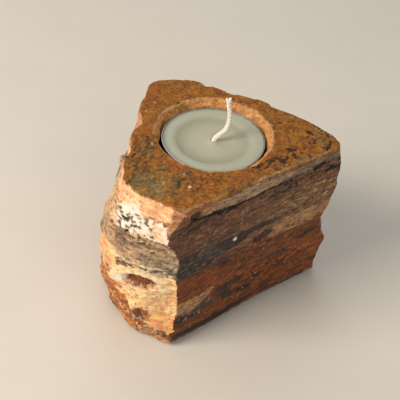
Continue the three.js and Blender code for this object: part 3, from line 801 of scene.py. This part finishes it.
def banded_stone(look):
    """Banded ironstone or agatised sediment, sawn on three faces and broken on the rest. The saw leaves a fine
    matt face that shows the beds clearly, and the breaks are paler, rougher and full of small grains. The
    breaks' paleness is partly the stone's own and partly painted light, the brightness of a strongly lit side."""
    material, tree, surface, place = new_material("banded_stone_sawn_and_broken")
    x, y, z = add(tree, "SeparateXYZ", {"Vector": place}).node.outputs

    # Patterns drawn out along the beds: name, width, height, detail and roughness.
    patterns = {}
    for name, width, height, detail, roughness in [
        ("waves", 34, 26, 2, 0.5),
        ("wander", 7, 3.2, 5, 0.6),
        ("ends", 14, 5, 4, 0.55),
        ("laminae", 5.0, 1.2, 4, 0.56),
        ("seams", 6, 1.4, 4, 0.6),
        ("stains", 9, 4.5, 4, 0.55),
        ("mottle", 3.4, 3.0, 6, 0.7),
        ("rust", 12, 12, 3, 0.55),
        ("weather", 17, 12, 4, 0.6),
        ("speckle", 1.4, 1.2, 4, 0.7),
        ("blotches", 3.4, 2.4, 5, 0.65),
        ("fine", 1.3, 0.9, 4, 0.72),
        ("grit", 0.7, 0.7, 3, 0.7),
    ]:
        drawn = add(tree, "Mapping", {"Vector": place, "Scale": (1 / width, 1 / width, 1 / height)})
        texture = {"Vector": drawn, "Scale": 1.0, "Detail": detail, "Roughness": roughness}
        patterns[name] = add(tree, "TexNoise", texture)

    # Masks: 0 where a pattern is below the first limit, and the strength given where it is above the second.
    made = {"seam": look.seam_colour, "olive": look.patch_colour}
    for name, pattern, low, high, strength in [
        ("laminae", "laminae", 0.33, 0.67, 1.0),
        ("mottle", "mottle", 0.34, 0.66, 1.0),
        ("fine", "fine", 0.32, 0.68, 1.0),
        ("seams", "seams", 0.56, 0.64, 0.6),
        ("veins", "seams", 0.37, 0.32, 0.5),
        ("stains", "stains", 0.52, 0.7, 0.35),
        ("rusty", "rust", 0.46, 0.66, 0.5),
        ("rust_runs", "rust", 0.5, 0.6, 0.55),
        ("olive_spots", "speckle", 0.56, 0.7, 0.55),
        ("blotches", "blotches", 0.52, 0.64, 0.35),
        ("knocks", "blotches", 0.42, 0.62, 0.5),
        ("weather", "weather", 0.36, 0.56, 0.75),
    ]:
        limits = {"Value": patterns[pattern], "From Min": low, "From Max": high, "To Max": strength}
        made[name] = add(tree, "MapRange", limits, interpolation_type="SMOOTHSTEP")

    # Height in the pile of beds: their slope, long waves, and small uneven ones.
    level = add(tree, "Math", {0: x, 1: -BED_CLIMB_X, 2: z}, operation="MULTIPLY_ADD")
    level = add(tree, "Math", {0: patterns["waves"], 1: 8.0, 2: level}, operation="MULTIPLY_ADD")
    level = add(tree, "Math", {0: patterns["wander"], 1: 5.0, 2: level}, operation="MULTIPLY_ADD")
    share_up = add(tree, "MapRange", {"Value": level, "From Min": 6.5, "From Max": 6.5 + BEDS_TOP})
    for name, colours in [("left_beds", LEFT_BEDS), ("right_beds", RIGHT_BEDS), ("rind_and_painted_light_beds", RIND_AND_PAINTED_LIGHT_BEDS)]:
        stops = [(height / BEDS_TOP, colour) for height, colour in colours]
        made[name] = add(tree, "ValToRGB", {"Fac": share_up}, stops)

    # The beds on the right differ from those on the left, and the top bed is one colour, mottled.
    across = add(tree, "Math", {0: patterns["ends"], 1: 26.0, 2: x}, operation="MULTIPLY_ADD")
    up_to_top = {"Value": z, "From Min": STONE_HEIGHT / MM - 1.6, "From Max": STONE_HEIGHT / MM - 0.5}
    left_to_right = {"Value": across, "From Min": -10.0, "From Max": 22.0}
    made["rightness"] = add(tree, "MapRange", left_to_right, interpolation_type="SMOOTHSTEP")
    made["topness"] = add(tree, "MapRange", up_to_top, interpolation_type="SMOOTHSTEP")

    # Weather has worn the rind, pale partly from painted light, off parts of the broken sides, and the drill's
    # cone leaves the flare pale.
    broken = add(tree, "Attribute", attribute_name="broken").node.outputs["Fac"]
    rind_and_painted_light_left = add(tree, "Math", {0: made["weather"], 1: 0.25}, operation="ADD")
    made["rind_and_painted_light_share"] = add(tree, "Math", {0: broken, 1: rind_and_painted_light_left}, operation="MULTIPLY")
    made["ground"] = add(tree, "Attribute", attribute_name="ground").node.outputs["Fac"]

    # The patches have ragged edges.
    patch = add(tree, "Attribute", attribute_name="patch").node.outputs
    made["patch"] = patch["Color"]
    ragged = add(tree, "Math", {0: patterns["speckle"], 1: 0.9, 2: patch["Alpha"]}, operation="MULTIPLY_ADD")
    ragged = add(tree, "Math", {0: patterns["laminae"], 1: 0.6, 2: ragged}, operation="MULTIPLY_ADD")
    tear = {"Value": ragged, "From Min": 1.12, "From Max": 1.5}
    made["patch_cover"] = add(tree, "MapRange", tear, interpolation_type="SMOOTHSTEP")

    # Grains: dark specks about half a millimetre across, and a few bright crystals.
    grains = add(tree, "TexVoronoi", {"Vector": place, "Scale": 1 / 1.5, "Randomness": 1.0}).node.outputs
    dots = add(tree, "MapRange", {"Value": grains["Distance"], "From Min": 0.34, "From Max": 0.16})
    red, green, _ = add(tree, "SeparateColor", {"Color": grains["Color"]}).node.outputs
    for name, share, low, high, strength in [
        ("dark_grains", red, 0.72, 0.82, 0.7),
        ("bright_grains", green, 0.985, 0.995, 0.6),
    ]:
        limits = {"Value": share, "From Min": low, "From Max": high, "To Max": strength}
        chance = add(tree, "MapRange", limits)
        made[name] = add(tree, "Math", {0: dots, 1: chance}, operation="MULTIPLY")

    # Bruised, paler stone along the sawn edges and the mouth.
    bruised = add(tree, "Attribute", attribute_name="bruised").node.outputs["Fac"]
    made["bruises"] = add(tree, "Math", {0: bruised, 1: made["knocks"]}, operation="MULTIPLY")

    # Each row names a colour and lays one over another to make it: the share, the one under and the one over.
    for name, share, under, over, way in [
        ("sawn_laminae", "laminae", "#4b3a33", "#f2dcc2", "MIX"),
        ("sawn_mottle", "mottle", "#3d342e", "#dccbb2", "MIX"),
        ("sawn", "rightness", "left_beds", "right_beds", "MIX"),
        ("sawn", 0.5, "sawn", "sawn_laminae", "OVERLAY"),
        ("sawn", "seams", "sawn", "seam", "MIX"),
        ("sawn", "stains", "sawn", "#84502a", "MIX"),
        ("sawn", 0.4, "sawn", "sawn_mottle", "OVERLAY"),
        ("top_bed", "mottle", "#7f4a10", "#ab741c", "MIX"),
        ("top_bed", "rusty", "top_bed", "#9e5216", "MIX"),
        ("top_bed", "olive_spots", "top_bed", "olive", "MIX"),
        ("sawn", "topness", "sawn", "top_bed", "MIX"),
        # The broken sides' colour, made in the rows below, is partly painted light.
        ("rind_and_painted_light_laminae", "laminae", "#5a463c", "#fff2e0", "MIX"),
        ("rind_and_painted_light", 0.4, "rind_and_painted_light_beds", "rind_and_painted_light_laminae", "OVERLAY"),
        ("rind_and_painted_light", "seams", "rind_and_painted_light", "seam", "MIX"),
        ("rind_and_painted_light", "veins", "rind_and_painted_light", "#f2dfc4", "MIX"),
        ("rind_and_painted_light", "rust_runs", "rind_and_painted_light", "#b9723a", "MIX"),
        ("rind_and_painted_light", "blotches", "rind_and_painted_light", "#a8713f", "MIX"),
        ("skin", "rind_and_painted_light_share", "sawn", "rind_and_painted_light", "MIX"),
        ("flare", "mottle", "#b9834a", "#dba869", "MIX"),
        ("skin", "ground", "skin", "flare", "MIX"),
        ("patch_laminae", "laminae", "#5a4a40", "#fff0dc", "MIX"),
        ("patch", 0.4, "patch", "patch_laminae", "OVERLAY"),
        ("skin", "patch_cover", "skin", "patch", "MIX"),
        ("fine_grain", "fine", "#3f3733", "#d9d2c8", "MIX"),
        ("skin", 0.55, "skin", "fine_grain", "OVERLAY"),
        ("skin", "dark_grains", "skin", "seam", "MIX"),
        ("skin", "bright_grains", "skin", "#f3e8d8", "MIX"),
        ("skin", "bruises", "skin", "#d8b48a", "MIX"),
    ]:
        below, above = [linear(part) if part.startswith("#") else made[part] for part in (under, over)]
        inputs = {0: made.get(share, share), 6: below, 7: above}
        made[name] = add(tree, "Mix", inputs, data_type="RGBA", blend_type=way)

    relief = add(tree, "Math", {0: made["laminae"], 1: 0.3, 2: patterns["grit"]}, operation="MULTIPLY_ADD")
    relief = add(tree, "Math", {0: made["dark_grains"], 1: -1.4, 2: relief}, operation="MULTIPLY_ADD")
    relief = add(tree, "Math", {0: patterns["speckle"], 1: 0.8, 2: relief}, operation="MULTIPLY_ADD")
    bump = add(tree, "Bump", {"Height": relief, "Strength": 0.55, "Distance": 0.2 * MM})
    gloss = add(tree, "Math", {0: patterns["grit"], 1: 0.5, 2: 0.36}, operation="MULTIPLY_ADD")
    gloss = add(tree, "Math", {0: made["bright_grains"], 1: -0.5, 2: gloss}, operation="MULTIPLY_ADD")
    feed(tree, surface, {"Base Color": made["skin"], "Normal": bump, "Roughness": gloss})
    feed(tree, surface, {"IOR": 1.54, "Specular IOR Level": 0.3})
    return material


# ---------------------------------------------------------------- the tealight and the pads: finishes


def set_wax(colour):
    """Paraffin wax poured into the cup and set: a satin skin, slightly see-through, clearer and bluer in the
    thick outer ring, with the faint frosting that wax shows when it cools."""
    material, tree, surface, place = new_material("paraffin_wax_poured")
    flat = add(tree, "VectorMath", {0: place, 1: (1, 1, 0)}, operation="MULTIPLY")
    radius = add(tree, "VectorMath", {0: flat}, operation="LENGTH")
    cloud = add(tree, "TexNoise", {"Vector": place, "Scale": 1 / 6, "Detail": 4.0, "Roughness": 0.6})
    wander = add(tree, "Math", {0: cloud, 1: 2.2, 2: radius}, operation="MULTIPLY_ADD")
    share = add(tree, "MapRange", {"Value": wander, "From Min": 1.1, "From Max": 19.6})
    stops = [
        (0.0, "#bbbaa4"),
        (0.45, "#b0b09a"),
        # The two darker stops at 0.62 and 0.69 lie on the step down into the dish: painted shade on the step.
        (0.62, "#9c9c82"),
        (0.69, "#999a82"),
        (0.77, "#a8ac9a"),
        (0.93, "#aeb4a5"),
        (1.0, "#9ba08c"),
    ]
    rings = add(tree, "ValToRGB", {"Fac": share}, stops)
    tinted = add(tree, "Mix", {0: 0.35, 6: rings, 7: colour}, data_type="RGBA")
    frost = add(tree, "TexNoise", {"Vector": place, "Scale": 1 / 0.9, "Detail": 5.0, "Roughness": 0.7})
    rough = add(tree, "MapRange", {"Value": frost, "To Min": 0.34, "To Max": 0.56})
    bump = add(tree, "Bump", {"Height": cloud, "Strength": 0.25, "Distance": 0.3 * MM})
    feed(tree, surface, {"Base Color": tinted, "Roughness": rough, "Normal": bump, "IOR": 1.44})
    feed(tree, surface, {"Subsurface Weight": 0.35, "Subsurface Radius": (1.0, 0.95, 0.7)})
    feed(tree, surface, {"Subsurface Scale": 1.6 * MM})
    return material


def drawn_aluminium():
    """Aluminium foil deep-drawn into a cup: bright, with fine upright marks from the die on its wall."""
    material, tree, surface, place = new_material("aluminium_deep_drawn")
    # Real die marks are some hundredths of a millimetre apart. These are a quarter, so that they show.
    drawn = add(tree, "Mapping", {"Vector": place, "Scale": (4.0, 4.0, 0.12)})
    marks = add(tree, "TexNoise", {"Vector": drawn, "Scale": 1.0, "Detail": 4.0})
    shade = add(tree, "ValToRGB", {"Fac": marks}, [(0.3, "#b7b9ba"), (0.7, "#dfe0e0")])
    rough = add(tree, "MapRange", {"Value": marks, "To Min": 0.22, "To Max": 0.42})
    bump = add(tree, "Bump", {"Height": marks, "Strength": 0.3, "Distance": 0.05 * MM})
    feed(tree, surface, {"Base Color": shade, "Roughness": rough, "Normal": bump, "Metallic": 1.0})
    return material


def stamped_tinplate():
    """Tin-plated steel stamped from sheet: a greyer, slightly mottled metal, unevenly worn by the press."""
    material, tree, surface, place = new_material("tinplate_stamped")
    spangle = add(tree, "TexNoise", {"Vector": place, "Scale": 1 / 1.4, "Detail": 5.0, "Roughness": 0.65})
    shade = add(tree, "ValToRGB", {"Fac": spangle}, [(0.35, "#9b9a95"), (0.65, "#c7c5be")])
    rough = add(tree, "MapRange", {"Value": spangle, "To Min": 0.28, "To Max": 0.5})
    feed(tree, surface, {"Base Color": shade, "Roughness": rough, "Metallic": 1.0})
    return material


def braided_cotton(colour):
    """Bleached cotton yarn, braided and primed with wax: matt white strands with a slightly waxy sheen."""
    material, tree, surface, place = new_material("cotton_braided")
    # A cotton fibre is about 0.015 mm thick. The pattern is drawn at 0.25 mm, so that it shows.
    fibres = add(tree, "TexNoise", {"Vector": place, "Scale": 1 / 0.25, "Detail": 4.0, "Roughness": 0.7})
    shade = add(tree, "ValToRGB", {"Fac": fibres}, [(0.2, "#e4dfd2"), (0.55, "#ffffff")])
    dyed = add(tree, "Mix", {0: 1.0, 6: colour, 7: shade}, data_type="RGBA", blend_type="MULTIPLY")
    bump = add(tree, "Bump", {"Height": fibres, "Strength": 0.5, "Distance": 0.06 * MM})
    feed(tree, surface, {"Base Color": dyed, "Normal": bump, "Roughness": 0.72})
    feed(tree, surface, {"Sheen Weight": 0.25, "Sheen Roughness": 0.4})
    return material


def pressed_felt(colour):
    """Wool felt pressed into sheet and punched out: matt, with short tangled fibres, some of them lighter."""
    material, tree, surface, place = new_material("wool_felt_pressed")
    # A wool fibre is about 0.025 mm thick. The tangle is drawn at 0.5 mm, so that it shows.
    tangled = {"Vector": place, "Scale": 1 / 0.5, "Detail": 6.0, "Roughness": 0.75, "Distortion": 1.5}
    tangle = add(tree, "TexNoise", tangled)
    shade = add(tree, "ValToRGB", {"Fac": tangle}, [(0.3, "#8f8f8f"), (0.72, "#ffffff")])
    dyed = add(tree, "Mix", {0: 1.0, 6: colour, 7: shade}, data_type="RGBA", blend_type="MULTIPLY")
    bump = add(tree, "Bump", {"Height": tangle, "Strength": 0.8, "Distance": 0.2 * MM})
    feed(tree, surface, {"Base Color": dyed, "Normal": bump, "Roughness": 0.95, "Sheen Weight": 0.4})
    return material


def painted_floor(colour):
    """A painted board, matt and even, with the faintest unevenness of a roller."""
    material, tree, surface, place = new_material("painted_board")
    roller = add(tree, "TexNoise", {"Vector": place, "Scale": 1 / 30, "Detail": 3.0})
    shade = add(tree, "ValToRGB", {"Fac": roller}, [(0.3, "#fcfcfc"), (0.7, "#ffffff")])
    painted = add(tree, "Mix", {0: 1.0, 6: colour, 7: shade}, data_type="RGBA", blend_type="MULTIPLY")
    feed(tree, surface, {"Base Color": painted, "Roughness": 0.8})
    return material


# ---------------------------------------------------------------- operators


class HOLDER_OT_stone(bpy.types.Operator):
    """Makes the block of banded stone: broken all round, sawn on three faces and drilled"""

    bl_idname = "tealight_holder.stone"
    bl_label = "Stone"

    def execute(self, context):
        look = context.scene.holder_stone
        noise.seed_set(CHIP_SEED)
        stone = solid_lump()
        apply_modifier(stone, "REMESH", mode="VOXEL", voxel_size=COARSE_GRAIN * MM)
        move_vertices(stone, break_coarsely)
        pick(stone)
        bpy.ops.object.mode_set(mode="EDIT")
        for place, normal in SAW_CUTS:
            bpy.ops.mesh.select_all(action="SELECT")
            on_plane = AXIS + place * MM
            bpy.ops.mesh.bisect(plane_co=on_plane, plane_no=normal, use_fill=True, clear_outer=True)
        bpy.ops.object.mode_set(mode="OBJECT")
        apply_modifier(stone, "REMESH", mode="VOXEL", voxel_size=look.grain)
        move_vertices(stone, break_finely(look))
        cutter = recess_cutter()
        apply_modifier(stone, "BOOLEAN", operation="DIFFERENCE", object=cutter, solver="MANIFOLD")
        bpy.data.objects.remove(cutter)
        mark_surfaces(stone)
        soften(stone, CREASE)
        dress(stone, banded_stone(look), "stone", "banded_stone", "stone_block")
        return {"FINISHED"}


class HOLDER_OT_felt_pads(bpy.types.Operator):
    """Makes the felt pads under the sawn base"""

    bl_idname = "tealight_holder.felt_pads"
    bl_label = "Felt pads"

    def execute(self, context):
        material = pressed_felt(context.scene.holder_tealight.felt_colour)
        for node in PAD_NODES:
            low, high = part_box(node)
            middle = (low + high) / 2
            radius = (high.x - low.x) / 2 / MM
            thickness = (high.z - low.z) / MM
            profile = [(radius - 2, 0), (radius - 0.25, 0), (radius - 0.02, 0.3)]
            profile += [(radius, thickness / 2), (radius - 0.08, thickness - 0.25)]
            profile += [(radius - 0.3, thickness), (radius - 2, thickness)]
            pad = turned(node.replace("felt_pad", "pad"), profile, 64, axis=middle)
            apply_modifier(pad, "SUBSURF", levels=2, render_levels=2)

            def fuzz(p, normal):
                """Loose fibres round the pad's edge and on its upper face. None hang below it."""
                return Vector((normal.x, normal.y, max(0, normal.z))) * 0.06 * noise.noise(p * 2.1)

            move_vertices(pad, fuzz)
            soften(pad, 60)
            dress(pad, material, "stone", "felt", node)
        return {"FINISHED"}


class HOLDER_OT_cup(bpy.types.Operator):
    """Makes the drawn aluminium cup with its rolled rim"""

    bl_idname = "tealight_holder.cup"
    bl_label = "Tealight cup"

    def execute(self, context):
        low, high = CUP_LOW.z / MM, CUP_HIGH.z / MM
        bead_radius = (CUP_HIGH.x - CUP_LOW.x) / 2 / MM
        rim, wall, taper = bead_radius - 0.25, 0.14, 0.7
        foot = rim - taper
        profile = [(2, low + 0.45), (11, low + 0.45), (11.6, low + 0.3), (foot - 1.6, low)]
        profile += [(foot - 0.5, low), (foot - 0.1, low + 0.15), (foot, low + 0.6)]
        profile += [(rim - 0.1, high - 1.1), (rim - 0.02, high - 0.6)]
        profile += [(rim + 0.12, high - 0.5), (bead_radius, high - 0.26), (rim + 0.16, high - 0.04)]
        profile += [(rim - 0.02, high), (rim - 0.2, high - 0.12), (rim - wall - 0.02, high - 0.4)]
        profile += [(foot - wall, low + 0.75), (foot - 0.4, low + 0.38), (foot - 1.4, low + 0.25)]
        profile += [(12, low + 0.6), (11.2, low + 0.68), (2, low + 0.68)]
        cup = turned("cup", profile, 128)
        soften(cup, 45)
        dress(cup, drawn_aluminium(), "cup", "drawn_aluminium", "tealight_cup")
        return {"FINISHED"}


class HOLDER_OT_wax(bpy.types.Operator):
    """Makes the puck of wax, with a raised ring round a dished middle and a collar of wax round the wick"""

    bl_idname = "tealight_holder.wax"
    bl_label = "Wax"

    def execute(self, context):
        low, high = WAX_LOW.z / MM, WAX_HIGH.z / MM
        rim = (WAX_HIGH.x - WAX_LOW.x) / 2 / MM + 0.2
        pocket = (SUSTAINER_HIGH.x - SUSTAINER_LOW.x) / 2 / MM + 0.12
        profile = [(pocket, low), (rim - 0.9, low), (rim - 0.6, low + 0.3)]
        profile += [(rim - 0.02, high - 0.55), (rim, high - 0.1), (rim - 0.06, high + 0.04)]
        profile += [(rim - 0.35, high - 0.06), (rim - 0.9, high - 0.16), (rim - 1.8, high - 0.04)]
        profile += [(rim - 3.0, high), (rim - 4.0, high - 0.08), (rim - 4.9, high - 0.32)]
        profile += [(rim - 5.5, high - 0.62), (rim - 6.2, high - 0.8), (rim - 7.4, high - 0.9)]
        profile += [(rim - 10, high - 0.96), (5.2, high - 1.02), (3.2, high - 0.98), (2.0, high - 0.82)]
        profile += [(1.35, high - 0.5), (1.12, high - 0.42), (0.98, high - 0.75)]
        neck = SUSTAINER_HIGH.z / MM + 0.1
        profile += [(0.98, neck), (1.7, neck), (1.7, low + 0.45), (pocket, low + 0.45), (pocket, low)]
        wax = turned("wax", profile, 120, closed=True)

        def sink(p, normal):
            """Set wax isn't quite even: it dips and leans a little."""
            if normal.z < 0.5:
                return Vector()
            radius = p.xy.length
            share = smooth(1.5, 4, radius) * (1 - smooth(rim - 1.5, rim - 0.5, radius))
            return Vector((0, 0, 0.16 * noise.noise(p / 9) + 0.05 * noise.noise(p / 3))) * share

        move_vertices(wax, sink)
        soften(wax, 50)
        dress(wax, set_wax(context.scene.holder_tealight.wax_colour), "candle", "candle_wax", "wax_puck")
        return {"FINISHED"}


class HOLDER_OT_sustainer(bpy.types.Operator):
    """Makes the stamped sustainer with its crimped neck"""

    bl_idname = "tealight_holder.sustainer"
    bl_label = "Wick sustainer"

    def execute(self, context):
        low, high = SUSTAINER_LOW.z / MM, SUSTAINER_HIGH.z / MM
        radius = (SUSTAINER_HIGH.x - SUSTAINER_LOW.x) / 2 / MM
        profile = [(1.22, low), (radius - 0.15, low), (radius, low + 0.12), (radius - 0.1, low + 0.28)]
        profile += [(3.2, low + 0.3), (2.2, low + 0.42), (1.62, low + 0.9), (1.5, high - 0.4)]
        profile += [(1.42, high - 0.05), (1.22, high), (1.15, high - 0.3), (1.18, low + 1.0), (1.22, low)]
        sustainer = turned("sustainer", profile, 64, closed=True)

        def crimp(p, normal):
            """Two dents pinch the neck onto the wick."""
            up = smooth(in_stone(SUSTAINER_LOW).z + 1.2, in_stone(SUSTAINER_HIGH).z - 1.5, p.z)
            side = abs(p.y) / max(1e-6, p.xy.length)
            return Vector((0, -math.copysign(0.12, p.y), 0)) * up * smooth(0.6, 1, side) * (p.xy.length < 2)

        move_vertices(sustainer, crimp)
        soften(sustainer, 40)
        dress(sustainer, stamped_tinplate(), "candle", "tinplate", "wick_sustainer")
        return {"FINISHED"}


# Centreline of the wick, from the recess's axis and the middle of the dish's floor, in millimetres.
WICK_BEND = [
    (0.0, 0.0, -0.6),
    (0.5, -0.1, 1.1),
    (2.0, -0.5, 2.6),
    (4.2, -0.9, 4.0),
    (5.2, -0.95, 5.6),
    (5.8, -0.85, 7.2),
    (6.2, -0.6, 9.2),
    (6.25, -0.1, 11.6),
    (6.05, 0.5, 14.2),
    (5.85, 0.9, 16.9),
]
WICK_STRANDS = 8
WICK_STEP = 0.3  # millimetres between the points of a strand
WICK_WEAVE_RADIUS, WICK_WEAVE_DEPTH = 0.56, 0.13  # how far out the strands run, and how far they weave
WICK_CORE_SHORT = 3  # points by which the core stops short of the frayed tip


def wick_line():
    """Evenly spaced points along the wick's centreline, in millimetres, each with two directions across it."""
    floor = WAX_HIGH.z / MM - 1.0
    knots = [Vector((0, 0, SUSTAINER_LOW.z / MM)), Vector((0, 0, floor - 4))]
    knots += [Vector((x, y, floor + z)) for x, y, z in WICK_BEND]
    curve = bpy.data.curves.new("wick_line", "CURVE")
    curve.dimensions = "3D"
    spline = curve.splines.new("BEZIER")
    spline.bezier_points.add(len(knots) - 1)
    for point, knot in zip(spline.bezier_points, knots):
        point.co = knot
        point.handle_left_type = point.handle_right_type = "AUTO"
    curve.resolution_u = 24
    holder = bpy.data.objects.new("wick_line", curve)
    bpy.context.scene.collection.objects.link(holder)
    bpy.context.view_layer.update()
    fine = [v.co.copy() for v in holder.to_mesh().vertices]
    holder.to_mesh_clear()
    bpy.data.objects.remove(holder)
    points, travelled = [fine[0]], 0.0
    for a, b in zip(fine, fine[1:]):
        travelled += (b - a).length
        if travelled >= WICK_STEP:
            points.append(b)
            travelled = 0.0
    across = Vector((1, 0, 0))
    line = []
    for i, point in enumerate(points):
        along = (points[min(i + 1, len(points) - 1)] - points[max(i - 1, 0)]).normalized()
        across = (across - along * across.dot(along)).normalized()
        line.append((point, across.copy(), along.cross(across)))
    return line


def add_strand(curve, places, thickness=1.0):
    """Adds a strand through these places, in millimetres from the recess's axis and from z = 0."""
    spline = curve.splines.new("POLY")
    spline.points.add(len(places) - 1)
    for point, place in zip(spline.points, places):
        point.co = (AXIS.x + place.x * MM, AXIS.y + place.y * MM, place.z * MM, 1)
        point.radius = thickness


class HOLDER_OT_wick(bpy.types.Operator):
    """Makes the braided wick, strand by strand, with a frayed tip"""

    bl_idname = "tealight_holder.wick"
    bl_label = "Wick"

    def execute(self, context):
        look = context.scene.holder_tealight
        line = wick_line()
        pitch, strand = look.braid_pitch / MM, look.strand / MM
        curve = bpy.data.curves.new("wick", "CURVE")
        curve.dimensions = "3D"
        curve.bevel_depth = strand / 2 * MM
        curve.bevel_resolution = 2
        curve.use_fill_caps = True
        for number in range(WICK_STRANDS):
            way = 1 if number % 2 else -1
            start = 2 * math.pi * (number // 2) / (WICK_STRANDS / 2)
            places = []
            for i, (point, across, beside) in enumerate(line):
                turn = start + way * 2 * math.pi * i * WICK_STEP / pitch
                weave = math.cos(WICK_STRANDS / 2 * turn + (math.pi if number % 2 else 0))
                fray = 0.35 * smooth(len(line) - 5, len(line) - 1, i) * (0.4 + (number * 0.37) % 1)
                out = WICK_WEAVE_RADIUS + WICK_WEAVE_DEPTH * weave + fray
                places.append(point + (across * math.cos(turn) + beside * math.sin(turn)) * out)
            add_strand(curve, places)
        add_strand(curve, [point for point, _, _ in line[:-WICK_CORE_SHORT]], thickness=1.6)
        wick = bpy.data.objects.new("wick_braid", curve)
        context.scene.collection.objects.link(wick)
        pick(wick)
        bpy.ops.object.convert(target="MESH")
        wick = context.object
        soften(wick, 60)
        dress(wick, braided_cotton(look.wick_colour), "candle", "braided_cotton", "wick")
        return {"FINISHED"}


def soft_light(name, direction, elevation, distance, size, power, colour):
    """A square soft box that faces the stone. The direction is in degrees from +X, in plan."""
    lamp = bpy.data.lights.new(name, "AREA")
    lamp.size = size
    lamp.energy = power
    lamp.color = linear(colour)[:3]
    box = bpy.data.objects.new(name, lamp)
    turn, rise = math.radians(direction), math.radians(elevation)
    away = Vector((math.cos(turn) * math.cos(rise), math.sin(turn) * math.cos(rise), math.sin(rise)))
    middle = (STONE_LOW + STONE_HIGH) / 2
    box.location = middle + away * distance
    box.rotation_euler = away.to_track_quat("Z", "Y").to_euler()
    bpy.context.scene.collection.objects.link(box)


class HOLDER_OT_stage(bpy.types.Operator):
    """Makes the pale floor, the soft lights and the camera"""

    bl_idname = "tealight_holder.stage"
    bl_label = "Stage"

    def execute(self, context):
        look = context.scene.holder_stage
        bpy.ops.object.select_all(action="DESELECT")
        bpy.ops.mesh.primitive_plane_add(size=6, location=(0, 0, 0))
        floor = context.object
        floor.name = "floor"
        floor.data.materials.append(painted_floor(look.floor_colour))
        soft_light("key", 168, 40, 0.9, 0.42, 7, "#fff0dc")
        soft_light("fill", 262, 38, 1.2, 0.9, 3, "#f7f1e8")
        soft_light("rim", 60, 50, 1.2, 0.7, 2, "#ffffff")
        world = bpy.data.worlds.new("studio")
        context.scene.world = world
        world.use_nodes = True
        sky = world.node_tree.nodes["Background"]
        feed(world.node_tree, sky, {"Color": linear("#f1ebe2"), "Strength": 0.35})

        turn, rise = look.azimuth, look.elevation
        forward = Vector((math.sin(turn) * math.cos(rise), math.cos(turn) * math.cos(rise), -math.sin(rise)))
        level_right = Vector((math.cos(turn), -math.sin(turn), 0))
        level_up = level_right.cross(forward)
        right = level_right * math.cos(look.roll) + level_up * math.sin(look.roll)
        up = right.cross(forward)
        camera_data = bpy.data.cameras.new("camera")
        camera_data.sensor_width = 36
        camera_data.lens = look.lens
        camera_data.clip_start = 0.01
        camera = bpy.data.objects.new("camera", camera_data)
        context.scene.collection.objects.link(camera)
        place = AXIS + Vector(look.aim) - forward * look.distance
        turned_by = Matrix((right, up, -forward)).transposed().to_4x4()
        camera.matrix_world = Matrix.Translation(place) @ turned_by
        context.scene.camera = camera
        context.scene.view_settings.view_transform = "Standard"
        return {"FINISHED"}


# ---------------------------------------------------------------- the add-on


class HOLDER_PT_panel(bpy.types.Panel):
    """Lists the holder's sizes and colours and the steps that make it"""

    bl_idname = "HOLDER_PT_panel"
    bl_label = "Tealight Holder"
    bl_space_type = "VIEW_3D"
    bl_region_type = "UI"
    bl_category = "Tealight Holder"

    def draw(self, context):
        scene = context.scene
        candle_steps = (HOLDER_OT_cup, HOLDER_OT_wax, HOLDER_OT_sustainer, HOLDER_OT_wick)
        groups = [
            (scene.holder_stone, (HOLDER_OT_stone, HOLDER_OT_felt_pads)),
            (scene.holder_tealight, candle_steps),
            (scene.holder_stage, (HOLDER_OT_stage,)),
        ]
        for settings, operators in groups:
            column = self.layout.box().column()
            for name in settings.__annotations__:
                column.prop(settings, name)
            for operator in operators:
                column.operator(operator.bl_idname)


SETTINGS = {"holder_stone": StoneSettings, "holder_tealight": TealightSettings, "holder_stage": StageSettings}
OPERATORS = (
    HOLDER_OT_stage,
    HOLDER_OT_stone,
    HOLDER_OT_felt_pads,
    HOLDER_OT_cup,
    HOLDER_OT_wax,
    HOLDER_OT_sustainer,
    HOLDER_OT_wick,
)


def register():
    for cls in (*SETTINGS.values(), *OPERATORS, HOLDER_PT_panel):
        bpy.utils.register_class(cls)
    for name, group in SETTINGS.items():
        setattr(bpy.types.Scene, name, bpy.props.PointerProperty(type=group))


def unregister():
    for name in SETTINGS:
        delattr(bpy.types.Scene, name)
    for cls in (HOLDER_PT_panel, *reversed(OPERATORS), *reversed(tuple(SETTINGS.values()))):
        bpy.utils.unregister_class(cls)


def main():
    register()
    bpy.ops.tealight_holder.stage()
    bpy.ops.tealight_holder.stone()
    bpy.ops.tealight_holder.felt_pads()
    bpy.ops.tealight_holder.cup()
    bpy.ops.tealight_holder.wax()
    bpy.ops.tealight_holder.sustainer()
    bpy.ops.tealight_holder.wick()


if __name__ == "__main__":
    main()
